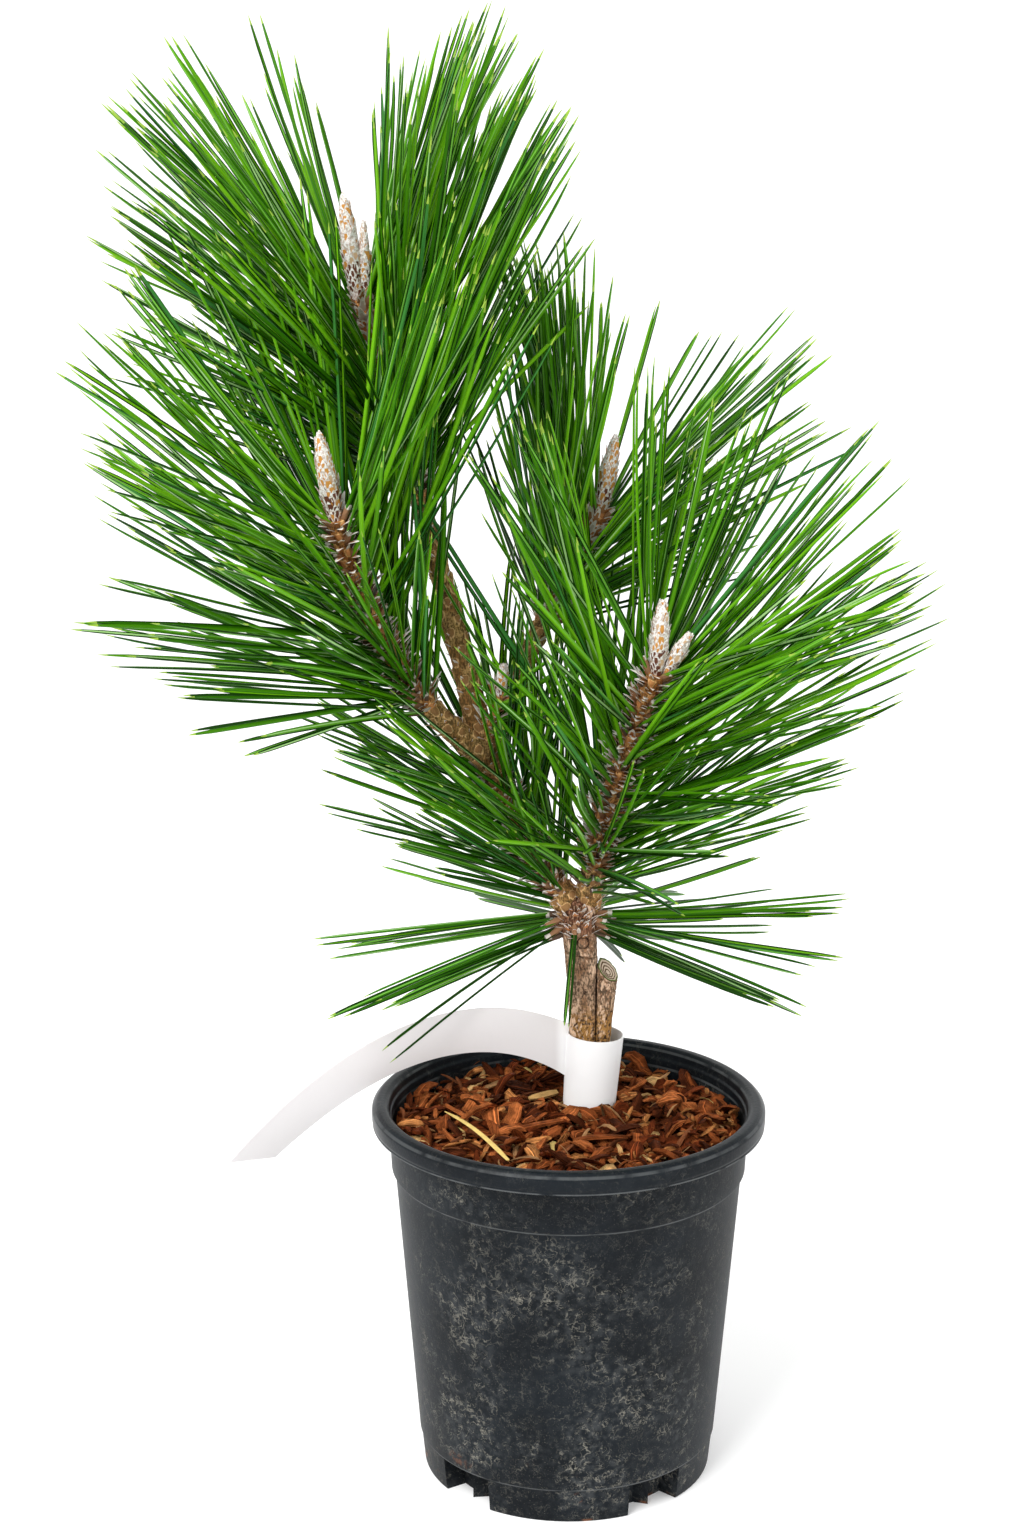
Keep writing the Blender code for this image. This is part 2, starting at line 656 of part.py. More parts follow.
def mass_spines():
    """The middle line of each mass, which marks out its space.

    It is the stem moved along its own direction by a share of the needles' reach that way.
    """
    spines = {}
    for node, spec, limb, start, end in mass_specs():
        points, _radii = limb_points(limb, start, end, 16)
        spreads = np.radians(np.linspace(*spec["spread"], len(points)))
        ahead = SPINE_SHARE * spec["length"] * np.cos(spreads)
        spines[node] = points + ahead[:, None] * directions_along(points)
    return spines


def keeps_to_space(needle, node, spines):
    """True where the outer part of a needle is nearer its own mass's spine than any other."""
    samples = needle_points(needle, np.linspace(SPACE_FROM, 1.0, 16))
    own = distance_to_route(samples, spines[node])[0]
    others = [distance_to_route(samples, spine)[0]
              for other, spine in spines.items() if other != node]
    return bool(np.all(own < np.min(others, axis=0)))


def clears_limbs(needle, carrier, fences):
    """True where a needle stays clear of every limb, its own past the root included."""
    samples = needle_points(needle, np.linspace(0.0, 1.0, NEEDLE_SAMPLES))
    if samples[:, 2].min() < POT_HEIGHT + RIM_CLEARANCE:
        return False
    for name, (route, radii) in fences.items():
        checked = samples[OWN_LIMB_FROM:] if name == carrier else samples
        away, nearest = distance_to_route(checked, route)
        if np.any(away < radii[nearest] + NEEDLE_RADIUS + LIMB_CLEARANCE):
            return False
    return True


def choose_needles():
    """The needles of every mass that keep to its space and touch nothing outside it."""
    spines = mass_spines()
    fences = obstacles()
    rng = random.Random(SEED)
    taken = []
    chosen = {}
    for node, spec, limb, start, end in mass_specs():
        points, radii = limb_points(limb, start, end, STEM_POINTS)
        if node in SLEEVES:
            radii = radii + SLEEVE_WALL + GAP
            needles = needle_rule(points, radii, spec, rng, SLEEVE_ROOT_DEPTH)
        else:
            needles = needle_rule(points, radii, spec, rng, NEEDLE_ROOT_DEPTH)
        tree = kdtree.KDTree(len(taken))
        for index, place in enumerate(taken):
            tree.insert(place, index)
        tree.balance()
        chosen[node] = []
        for needle in needles:
            if not keeps_to_space(needle, node, spines):
                continue
            if not clears_limbs(needle, limb, fences):
                continue
            samples = needle_points(needle, np.linspace(0.0, 1.0, NEEDLE_SAMPLES))
            if taken and min(tree.find(place)[2] for place in samples) < NEEDLE_CLEARANCE:
                continue
            chosen[node].append(needle)
        taken += [place for needle in chosen[node]
                  for place in needle_points(needle, np.linspace(0.0, 1.0, NEEDLE_SAMPLES))]
    return chosen


def build_mass(node, core, needles, buds):
    """One mass: a stem or sleeve with its needles and buds fused on."""
    parts = operand_collection(node + " parts")
    for needle in needles:
        new_object("needle", needle_mesh(needle), parts)
    for foot, heading, length, radius in buds:
        new_object("bud", bud_mesh(foot, heading, length, radius), parts)
    mass = new_object(node, core)
    combine(mass, parts, "UNION")
    keep_largest_body(mass)
    return mass


def build_masses():
    """Every mass of needles: five shoots and the two sleeves of older needles."""
    chosen = choose_needles()
    masses = []
    for node, spec, limb, start, end in mass_specs():
        if node in SLEEVES:
            points, radii = limb_points(limb, start, end, STEM_POINTS)
            sides = TRUNK_SIDES if limb == "trunk" else LIMB_SIDES
            core = sleeve_mesh(node, points, radii + GAP, SLEEVE_WALL, sides)
            masses.append(build_mass(node, core, chosen[node], ()))
            continue
        reach = np.linalg.norm(LIMBS[limb]["tip"] - LIMBS[limb]["foot"])
        core = tube_mesh(node, *limb_points(limb, start + GAP / reach, end, STEM_POINTS))
        mass = build_mass(node, core, chosen[node], bud_places(limb))
        if start == 0.0:
            cut_clear(mass, ("bough_leader", "top", "left", "middle"))
        masses.append(mass)
    return masses


def build_collar():
    """The label's collar: a thin band round the trunk's foot, leaning with it."""
    points = bowed(COLLAR_FOOT, COLLAR_TOP, np.zeros(3), np.linspace(0.0, 1.0, 3))
    radii = np.linspace(COLLAR_FOOT_RADIUS, COLLAR_TOP_RADIUS, 3)
    return new_object("label_collar", sleeve_mesh(
        "label_collar", points, radii - STRAP_THICKNESS, STRAP_THICKNESS, COLLAR_SIDES))


def build_tail():
    """The label's tail: a stiff ribbon that arches over the rim and leans forward as it goes.

    Across the ribbon its upper edge leans from upright towards the front by an angle that
    grows with the square of the way along, and both ends are cut on a slant.
    """
    shares = np.linspace(0.0, 1.0, TAIL_SEGMENTS + 1)
    points = tail_route(shares)
    directions = directions_along(points)
    front = np.cross(directions, (0.0, 0.0, 1.0))
    front /= np.linalg.norm(front, axis=1)[:, None]
    front *= -np.sign(front[:, 1:2])
    upward = np.cross(directions, front)
    upward *= np.sign(upward[:, 2:3])
    lean = (TAIL_END_LEAN * shares ** 2)[:, None]
    width = np.cos(lean) * upward + np.sin(lean) * front
    face = np.cos(lean) * front - np.sin(lean) * upward
    slant = (TAIL_START_SLANT * np.clip(1.0 - shares / 0.15, 0.0, 1.0)
             + TAIL_END_SLANT * np.clip((shares - 0.9) / 0.1, 0.0, 1.0))[:, None] * directions
    half_width = 0.5 * STRAP_WIDTH
    half_wall = 0.5 * STRAP_THICKNESS
    corners = [points + w * half_width * (width + slant) + t * half_wall * face
               for w, t in ((-1, -1), (1, -1), (1, 1), (-1, 1))]
    verts = np.stack(corners, axis=1)
    faces = skin_faces(len(points), 4)
    faces.append((0, 1, 2, 3))
    faces.append(tuple(range(4 * TAIL_SEGMENTS, 4 * TAIL_SEGMENTS + 4)))
    return new_object("label_tail", mesh_from("label_tail", verts.reshape(-1, 3), faces))


def finish(piece, material):
    """Give a piece its one material and shade it smooth between its sharp edges."""
    piece.data.materials.clear()
    piece.data.materials.append(material)
    piece.data.shade_smooth()
    piece.data.set_sharp_from_angle(angle=math.radians(35.0))


def main():
    """Empty the scene and build the potted plant."""
    for old in list(bpy.data.objects):
        bpy.data.objects.remove(old)
    materials = {name: finish_material(name) for name in FINISHES}
    finish(build_pot(), materials["moulded_black"])
    finish(build_mix(), materials["bark_mulch"])
    for piece in [build_trunk()] + build_boughs():
        finish(piece, materials["bark"])
    for piece in (build_collar(), build_tail()):
        finish(piece, materials["label_white"])
    for piece in build_masses():
        finish(piece, materials["needle_green"])


if __name__ == "__main__":
    main()
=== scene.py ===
"""Looks of a young Japanese black pine in a round nursery pot, with a blank strap label.

The file is laid out as a Blender add-on and is run as a script. It builds everything round the
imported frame, in metres, with +Z up and -Y at the front. Plant pieces grow by the same rule as the
solids that they stand for, carried on to paired needles, sheaths, scales and buds.
"""

import collections
import itertools
import math

import bpy
import numpy as np
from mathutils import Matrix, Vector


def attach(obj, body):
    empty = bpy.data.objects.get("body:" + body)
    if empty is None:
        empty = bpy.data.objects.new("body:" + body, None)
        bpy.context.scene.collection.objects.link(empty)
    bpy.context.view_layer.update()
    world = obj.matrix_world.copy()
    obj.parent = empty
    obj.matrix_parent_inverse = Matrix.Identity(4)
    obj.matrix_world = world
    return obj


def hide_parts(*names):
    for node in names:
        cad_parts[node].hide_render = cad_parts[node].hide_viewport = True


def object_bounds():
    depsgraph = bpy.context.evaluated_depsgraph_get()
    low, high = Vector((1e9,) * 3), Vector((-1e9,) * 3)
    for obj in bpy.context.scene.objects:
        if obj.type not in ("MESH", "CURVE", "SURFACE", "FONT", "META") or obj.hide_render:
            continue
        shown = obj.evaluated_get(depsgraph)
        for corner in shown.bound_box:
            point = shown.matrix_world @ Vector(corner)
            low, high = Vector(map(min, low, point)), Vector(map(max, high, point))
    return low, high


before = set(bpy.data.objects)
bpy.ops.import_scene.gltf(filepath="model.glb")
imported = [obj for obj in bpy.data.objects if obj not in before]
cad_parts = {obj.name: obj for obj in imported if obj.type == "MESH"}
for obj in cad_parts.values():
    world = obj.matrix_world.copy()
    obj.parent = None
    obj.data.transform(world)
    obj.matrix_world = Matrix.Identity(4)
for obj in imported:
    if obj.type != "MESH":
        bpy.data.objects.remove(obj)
CAD_BOX = [list(corner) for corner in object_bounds()]

bl_info = {
    "name": "Potted Black Pine",
    "version": (1, 0, 0),
    "blender": (4, 5, 0),
    "location": "View3D > Sidebar > Pine",
    "description": "Builds the looks of a young black pine in its nursery pot",
    "category": "Add Mesh",
}

MM = 0.001
GOLDEN_ANGLE = math.radians(137.508)
SEED = 11
UP = np.array((0.0, 0.0, 1.0))
BACK = np.array((0.0, 1.0, 0.0))
# Edges of a piece sharper than this stay sharp, where the piece says nothing else
SHARP_EDGE = math.radians(60.0)

# Pot
POT_HEIGHT = 162.5 * MM
RIM_RADIUS = 82.5 * MM
RIM_DEPTH = 9.0 * MM
POT_WALL = 1.5 * MM
FOOT_RADIUS = 61.2 * MM
SKIRT_HEIGHT = 15.0 * MM
SKIRT_TOP_RADIUS = 62.7 * MM
SHOULDER_HEIGHT = 133.0 * MM
SHOULDER_RADIUS = 72.9 * MM
BAND_RADIUS = 74.4 * MM
NECK_RADIUS = 75.6 * MM
FLOOR_THICKNESS = 2.5 * MM
POCKET_ANGLES = tuple(math.radians(a) for a in (-44.5, 35.5, 135.5, -144.5))
POCKET_HALF_ANGLE = math.radians(12.0)
POCKET_BACK_RADIUS = 52.0 * MM
POCKET_HEIGHT = 14.6 * MM
RIB_HALF_WIDTH = 4.6 * MM
RIB_EDGE_RADIUS = 57.0 * MM
POT_SIDES = 240
CORNER_STEPS = 3
SECTOR_STEPS = 20
# Heights between which the pot's finish changes: where the wall ends under the rim, where
# dust thickens downwards, where rusty spots begin, and the rusty line round the foot
WALL_TOP = (154.5 * MM, 152.0 * MM)
DUST_HEIGHTS = (130.0 * MM, 20.0 * MM)
SPOT_HEIGHTS = (30.0 * MM, 4.0 * MM)
FOOT_HEIGHTS = (1.6 * MM, 0.4 * MM)
# Pale lines along edges of the pot: lower and upper height, and how strongly. The two on
# the rim are painted highlights along its lip, the two lower ones pale lines at skirt and shoulder
PALE_EDGE_LINES = (
    (15.0 * MM, 15.4 * MM, 0.40), (133.0 * MM, 133.5 * MM, 0.45),
    (153.4 * MM, 154.1 * MM, 0.45), (160.6 * MM, 161.2 * MM, 0.30),
)

# Mix, with its chips as bent splinters: where their rings are, how full and how many sided
MIX_TOP = 150.0 * MM
MIX_RADIUS = 73.6 * MM
MIX_SIDES = 160
MIX_LUMPS = 1.6 * MM
CHIP_SHARES = np.array((0.0, 0.12, 0.38, 0.66, 0.90, 1.0))
CHIP_FULLNESS = np.array((0.22, 0.80, 1.0, 0.92, 0.60, 0.10))
CHIP_SIDES = 5
LONGEST_CHIP = 26.0 * MM
STRAW_COUNT = 190


def mm(*values):
    """A vector given in millimetres, in metres."""
    return np.array(values, dtype=float) * MM


# Limbs: where each one starts and ends, how far its middle bows aside, and its radii
WHORL = mm(-36.0, 5.0, 314.5)
LIMBS = {
    "trunk": (mm(9.3, 22.0, 150.3), mm(3.5, 22.0, 243.0), mm(0.6, 0.0, 0.0), mm(6.7, 6.7)),
    "leader": (mm(-0.6, 22.0, 243.3), WHORL, mm(-2.0, 3.0, -3.0), mm(5.2, 4.7)),
    "top": (mm(-36.0, 5.2, 315.6), mm(-85.0, 20.0, 493.0), mm(2.0, -1.5, 2.0), mm(4.9, 3.3)),
    "left": (mm(-38.0, 2.0, 314.0), mm(-91.0, -45.0, 416.0), mm(-7.0, 3.0, -9.0), mm(4.8, 3.4)),
    "middle": (mm(-32.0, 7.5, 315.5), mm(13.0, 50.0, 403.0), mm(-1.5, -3.0, 2.0), mm(4.2, 3.2)),
    "short": (mm(-34.0, 3.0, 317.0), mm(-28.5, -6.0, 338.0), mm(0.0, 0.0, 0.0), mm(2.2, 1.9)),
    "right": (mm(8.0, 21.5, 243.3), mm(33.4, -28.0, 352.0), mm(-2.5, -2.0, 2.0), mm(4.6, 3.6)),
}
STUB_FOOT = mm(11.5, 20.5, 158.0)
STUB_TOP = mm(16.8, 20.0, 214.5)
STUB_RADIUS = 4.4 * MM
STUB_CUT_SLOPE = 0.60
STUB_CUT_TURN = -0.55
STUB_SIDES = 84
CUT_RINGS = 9
# Heights between which the trunk's bark turns scaly and specked upwards, and warm downwards
SCALY_HEIGHTS = (224.0 * MM, 234.0 * MM)
SPECKED_HEIGHTS = (226.0 * MM, 236.0 * MM)
WARM_HEIGHTS = (202.0 * MM, 188.0 * MM)
# A round scar on the trunk, and the height of the ring that an old whorl left
SCAR = mm(6.1, 15.5, 226.3)
SCAR_RADIUS = 2.5 * MM
WHORL_RING = 220.1 * MM

# Masses of needles on the limbs, and the share of each limb that stays bare. Spreads are the
# needles' angles from the stem in degrees, at the foot and at the head of a mass, where the
# mass also turns up towards upright.
Mass = collections.namedtuple("Mass", "limb start end pairs length spread lift turn_up")
MASSES = {
    "top": Mass("top", 0.55, 1.0, 265, 130 * MM, (50, 36), 0.03, 0.8),
    "left": Mass("left", 0.26, 1.0, 195, 134 * MM, (38, 38), 0.03, 0.15),
    "middle": Mass("middle", 0.50, 1.0, 130, 120 * MM, (40, 28), 0.03, 0.8),
    "short": Mass("short", 0.0, 1.0, 16, 30 * MM, (60, 25), 0.0, 0.0),
    "right": Mass("right", 0.05, 1.0, 220, 134 * MM, (44, 38), 0.03, 0.0),
    "leader": Mass("leader", 0.05, 0.86, 100, 88 * MM, (36, 30), 0.02, 0.0),
    "fork": Mass("trunk", 0.84, 0.985, 74, 104 * MM, (114, 86), 0.0, 0.0),
}
BARE = {"top": 0.55, "left": 0.26, "middle": 0.50, "short": 0.0, "right": 0.15}
# Bare boughs: limb, the share of it where the bark ends, and how many pegs stand on it
BOUGHS = (("leader", 1.02, 90), ("top", BARE["top"] + 0.01, 70), ("left", BARE["left"] + 0.01, 26),
          ("middle", BARE["middle"] + 0.01, 50), ("right", BARE["right"] + 0.02, 20))
OLDER_BARK = (0.500, 0.310, 0.120)
# Buds of each shoot: offset aside, lean in degrees, length and radius
BUDS = {
    "top": ((0.0, 0.0, 41 * MM, 3.9 * MM), (6.5 * MM, 7.0, 29 * MM, 2.0 * MM)),
    "left": ((0.0, -5.0, 33 * MM, 4.2 * MM),),
    "middle": ((0.0, 0.0, 31 * MM, 3.9 * MM),),
    "short": ((0.0, 0.0, 12 * MM, 2.4 * MM),),
    "right": ((0.0, -4.0, 29 * MM, 4.2 * MM), (7.0 * MM, 20.0, 18 * MM, 2.7 * MM)),
}
OCHRE, TAN, RED = range(3)
BUD_TURN_UP = 0.6
BUD_ROOT_DEPTH = 2.0 * MM
BUD_OFFSET_SHARE = 0.4
BUD_SHARES = np.array((0.02, 0.12, 0.26, 0.42, 0.58, 0.72, 0.86, 0.95))
BUD_FULLNESS = np.array((0.50, 0.68, 0.90, 1.0, 0.97, 0.84, 0.56, 0.26))
# Gaps open to the sky in the front view: both ends, half width, share of needles left out
SKY_GAPS = (
    (mm(-85.6, 0.0, 539.0), mm(-91.4, 0.0, 585.9), 7.0 * MM, 0.40),
    (mm(-33.4, 0.0, 355.3), mm(-34.9, 0.0, 402.1), 4.0 * MM, 0.50),
)
# Pairs of needles that stand apart from their mass: where each one starts and ends
LOOSE = {
    "left": ((mm(-59.0, -12.0, 339.0), mm(-153.0, -26.0, 342.0)),
             (mm(-59.0, -12.0, 339.0), mm(-152.0, -30.0, 328.0)),
             (mm(-59.0, -12.0, 339.0), mm(-129.0, -32.0, 319.0)),
             (mm(-67.0, -15.0, 347.0), mm(-145.0, -34.0, 356.0))),
    "fork": ((mm(3.0, 16.0, 237.0), mm(-1.0, 8.0, 190.0)),),
}
# Share of needles left out before each shoot's buds in the front view, and the margin there
BARE_BUDS = {"top": 0.90, "left": 0.90, "middle": 1.0, "short": 0.5, "right": 0.92}
BUD_MARGIN = 2.4 * MM
# How far behind a line in the front view a needle may lie and still be left out
IN_FRONT = -3.0 * MM
ANY_DEPTH = 1.0
# Wood kept in sight from the front: limb, start, end, half width, share of needles left out
OPEN_WOOD = (
    ("left", 0.10, 1.0, 6.0 * MM, 0.70), ("right", 0.35, 1.0, 4.5 * MM, 0.55),
    ("top", 0.86, 1.0, 4.5 * MM, 0.40), ("top", 0.0, 0.40, 5.0 * MM, 0.55),
    ("trunk", 0.0, 0.90, 15.0 * MM, 1.0), ("trunk", 0.90, 1.0, 6.0 * MM, 0.35),
)
# The mix and the rim at the right, kept in sight from the front in the same way
OPEN_MIX = (mm(-12.0, -30.0, 150.0), mm(95.0, -30.0, 150.0), 34.0 * MM, 1.0, IN_FRONT)
# Room that needles leave round wood, rim and box, and the first point checked on their own limb
LIMB_CLEARANCE = 1.0 * MM
RIM_CLEARANCE = 3.0 * MM
BOX_CLEARANCE = 1.5 * MM
OWN_LIMB_FROM = 6
FENCE_SAMPLES = 60
STUB_FENCE = 5.0 * MM
COLLAR_FENCE = 12.6 * MM
TAIL_FENCE = 10.0 * MM
LOW_LENGTH = 0.70
TOP_LENGTH = 0.92
LENGTH_SPREAD = 0.07
ANGLE_SPREAD = math.radians(11.0)
NEEDLE_DEPTH = 0.8 * MM
SHEATH_SIDES = 6
SHORT_SHEATH = 0.4
# Papery scales: their lengths, lean from the stem, how many a shoot has, how deep they root
SHOOT_SCALE = 6.8 * MM
FORK_SCALE = 4.2 * MM
BOUGH_SCALE = 3.4 * MM
SHOOT_SCALE_LEAN = 0.75
BOUGH_SCALE_LEAN = 0.5
SCALES_PER_PAIR = 1.9
FEWEST_SCALES = 24
SCALE_DEPTH = 0.3 * MM
# Relief of the boughs and shoots, and how far a bough starts inside the limb that carries it
BOUGH_RELIEF = 0.75 * MM
BOUGH_OVERLAP = 3.0 * MM
SHOOT_RELIEF = 0.5 * MM

# Label
COLLAR_FOOT = mm(9.2, 22.0, 151.4)
COLLAR_TOP = mm(11.6, 22.0, 184.0)
COLLAR_FOOT_RADIUS = 11.2 * MM
COLLAR_TOP_RADIUS = 12.1 * MM
COLLAR_SIDES = 112
STRAP_THICKNESS = 0.5 * MM
STRAP_WIDTH = 20.0 * MM
TAIL_POINTS = (mm(-2.0, 20.0, 178.0), mm(-25.0, 12.0, 194.0),
               mm(-72.0, -2.0, 204.0), mm(-132.0, -14.0, 141.0))
# How far aside the collar's white passes into the tail's painted shade, and where on its
# arch the tail begins
TAIL_SHADE_SPAN = (-2.0 * MM, -6.0 * MM)
TAIL_FROM = -0.035
TAIL_CUP = 0.5 * MM
TAIL_END_LEAN = math.radians(32.0)
TAIL_START_SLANT = 0.7
TAIL_END_SLANT = 0.58

# Camera, in the frame of the pot
CAMERA_PLACE = mm(-23.7, -1111.7, 593.6)
CAMERA_PITCH = math.radians(14.5)
CAMERA_LENS = 66.1
SENSOR = 36.0

# Floor, which rises behind the pot on a circle
FLOOR_GLOW = 0.12
FLOOR_ROWS = 80
FLOOR_COLUMNS = 21
FLOOR_NEAR = -4.0
FLOOR_FAR = 6.0
FLOOR_HALF_WIDTH = 5.0
RISE_START = 2.0
RISE_RADIUS = 1.5


# Noise


def cell_values(cells, seed):
    """A value from 0 to 1 for each whole cell: its coordinates multiplied by primes and mixed."""
    mixed = (cells[..., 0] * 73856093) ^ (cells[..., 1] * 19349663) ^ (cells[..., 2] * 83492791)
    mixed = (mixed ^ (seed * 2654435761)) & 0xFFFFFFFF
    mixed = ((mixed ^ (mixed >> 15)) * 2246822519) & 0xFFFFFFFF
    mixed = ((mixed ^ (mixed >> 13)) * 3266489917) & 0xFFFFFFFF
    return ((mixed ^ (mixed >> 16)) & 0xFFFFFF) / float(0x1000000)


def smooth_noise(points, seed):
    """Noise from -1 to 1: values at whole coordinates, blended by 3 f^2 - 2 f^3 between them."""
    low = np.floor(points).astype(np.int64)
    part = points - low
    part = part * part * (3.0 - 2.0 * part)
    total = np.zeros(points.shape[:-1])
    for corner in itertools.product((0, 1), repeat=3):
        weight = np.prod(np.where(corner, part, 1.0 - part), axis=-1)
        total += weight * cell_values(low + np.array(corner), seed)
    return 2.0 * total - 1.0


def layered_noise(points, seed, layers):
    """Layers of smooth noise added up, each twice as fine and half as strong as the last."""
    total = np.zeros(points.shape[:-1])
    for layer in range(layers):
        total += smooth_noise(points * 2.0 ** layer, seed + layer) * 0.5 ** layer
    return total


def cell_gaps(points, seed):
    """Distances to the nearest and to the second nearest of one jittered centre a cell."""
    base = np.floor(points).astype(np.int64)
    near = np.full(points.shape[:-1], 9.0)
    second = near.copy()
    for offset in itertools.product((-1, 0, 1), repeat=3):
        cell = base + np.array(offset)
        jitter = np.stack([cell_values(cell, seed + k) for k in range(3)], axis=-1)
        away = np.linalg.norm(points - cell - jitter, axis=-1)
        second = np.minimum(second, np.maximum(near, away))
        near = np.minimum(near, away)
    return near, second


def smooth_step(values, low, high):
    """0 below low, 1 above high, and 3 t^2 - 2 t^3 between."""
    t = np.clip((values - low) / (high - low), 0.0, 1.0)
    return t * t * (3.0 - 2.0 * t)


# Skins


def linked(name, data):
    """An object that holds some data, linked to the scene."""
    holder = bpy.data.objects.new(name, data)
    bpy.context.scene.collection.objects.link(holder)
    return holder


def dress(mesh, materials, sharp):
    """Shade a mesh smooth but for edges sharper than an angle, and add its materials."""
    mesh.shade_smooth()
    mesh.set_sharp_from_angle(angle=sharp)
    for material in materials:
        mesh.materials.append(material)


class Batch:
    """Closed skins gathered into one mesh, with a material's place for every face."""

    def __init__(self):
        self.verts = []
        self.corners = {4: [], 3: []}
        self.picks = {4: [], 3: []}
        self.values = []
        self.count = 0

    def add(self, rings, poles, picks=0, values=0.0):
        """Skins over rings of points, closed at both ends by a fan to a pole.

        rings is (skins, rings, sides, 3) and poles (skins, 2, 3). Quad (i, j) joins points j
        and j + 1 of rings i and i + 1. picks has a material for each quad, and values one
        number for each point of a ring, kept as the attribute relief.
        """
        skins, turns, sides, _ = rings.shape
        ring, side = np.meshgrid(np.arange(turns - 1) * sides, np.arange(sides), indexing="ij")
        after = (side + 1) % sides
        quads = np.stack((ring + side, ring + after, ring + sides + after, ring + sides + side), -1)
        side = np.arange(sides)
        after = (side + 1) % sides
        last = (turns - 1) * sides
        foot = np.stack((np.full(sides, turns * sides), after, side), -1)
        head = np.stack((np.full(sides, turns * sides + 1), last + side, last + after), -1)
        shift = self.count + np.arange(skins)[:, None, None] * (turns * sides + 2)
        self.corners[4].append((quads.reshape(1, -1, 4) + shift).reshape(-1, 4))
        self.corners[3].append((np.concatenate((foot, head))[None] + shift).reshape(-1, 3))
        picks = np.broadcast_to(picks, (skins, turns - 1, sides))
        self.picks[4].append(picks.ravel())
        self.picks[3].append(picks[:, [0, -1]].ravel())
        self.verts.append(np.concatenate(
            (rings.reshape(skins, -1, 3), poles), axis=1).reshape(-1, 3))
        values = np.broadcast_to(values, (skins, turns, sides))
        ends = values[:, [0, -1], 0]
        self.values.append(np.concatenate((values.reshape(skins, -1), ends), axis=1).ravel())
        self.count += skins * (turns * sides + 2)

    def piece(self, name, materials, sharp=SHARP_EDGE):
        """The object of this batch, smooth but for edges sharper than an angle."""
        mesh = bpy.data.meshes.new(name)
        verts = np.concatenate(self.verts)
        mesh.vertices.add(len(verts))
        mesh.vertices.foreach_set("co", verts.astype(np.float32).ravel())
        quads = np.concatenate(self.corners[4])
        tris = np.concatenate(self.corners[3])
        loops = np.concatenate((quads.ravel(), tris.ravel()))
        mesh.loops.add(len(loops))
        mesh.loops.foreach_set("vertex_index", loops.astype(np.int32))
        starts = np.concatenate((np.arange(len(quads)) * 4,
                                 len(quads) * 4 + np.arange(len(tris)) * 3))
        mesh.polygons.add(len(starts))
        mesh.polygons.foreach_set("loop_start", starts.astype(np.int32))
        picks = np.concatenate(self.picks[4] + self.picks[3])
        mesh.polygons.foreach_set("material_index", picks.astype(np.int32))
        mesh.update(calc_edges=True)
        mesh.validate()
        values = np.concatenate(self.values)
        if np.ptp(values) > 0.0:
            relief = mesh.attributes.new("relief", "FLOAT", "POINT")
            relief.data.foreach_set("value", values.astype(np.float32))
        dress(mesh, materials, sharp)
        return linked(name, mesh)


def one_piece(name, materials, skins, sharp=SHARP_EDGE):
    """The object of a single set of skins, given as what Batch.add takes."""
    batch = Batch()
    batch.add(*skins)
    return batch.piece(name, materials, sharp)


def place(piece, slot, *nodes):
    """Make a piece ride with the part and stand for CAD nodes, which it hides; the slot is not used."""
    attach(piece, "root")
    if nodes:
        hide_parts(*nodes)


def unit(vectors):
    """Vectors scaled to a length of 1."""
    return vectors / np.linalg.norm(vectors, axis=-1, keepdims=True)


def frames(paths, reference):
    """Directions of paths, and two unit vectors across them, the first nearest a reference."""
    directions = unit(np.gradient(paths, axis=1))
    reference = np.broadcast_to(reference, (len(paths), 3))[:, None]
    along = np.sum(reference * directions, axis=-1, keepdims=True)
    first = unit(reference - along * directions)
    return directions, first, np.cross(directions, first)


def sweep(paths, first, second, section):
    """Rings of points along paths: path point + u first + v second, with (u, v) from a section."""
    rings = (paths[:, :, None] + section[..., :1] * first[:, :, None]
             + section[..., 1:] * second[:, :, None])
    return rings, paths[:, [0, -1]]


def round_section(sides):
    """Points of a unit circle."""
    turns = np.linspace(0.0, math.tau, sides, endpoint=False)
    return np.stack((np.cos(turns), np.sin(turns)), axis=-1)


# Shader expressions


class Value:
    """A socket in an expression: each operator adds the Math node that works it out."""

    def __init__(self, finish, socket):
        self.finish = finish
        self.socket = socket

    def math(self, operation, first, second=None):
        """The Math node of an operation on one or two values."""
        return self.finish.node("ShaderNodeMath", {"operation": operation}, {0: first, 1: second})

    def __add__(self, other):
        return self.math("ADD", self, other)

    def __sub__(self, other):
        return self.math("SUBTRACT", self, other)

    def __rsub__(self, other):
        return self.math("SUBTRACT", other, self)

    def __mul__(self, other):
        return self.math("MULTIPLY", self, other)

    __radd__ = __add__
    __rmul__ = __mul__

    def step(self, low, high):
        """0 below low, 1 above high and smooth between them; falls if high is the lower."""
        return self.finish.node(
            "ShaderNodeMapRange", {"interpolation_type": "SMOOTHSTEP"},
            {0: self, 1: min(low, high), 2: max(low, high),
             3: 0.0 if low < high else 1.0, 4: 1.0 if low < high else 0.0})


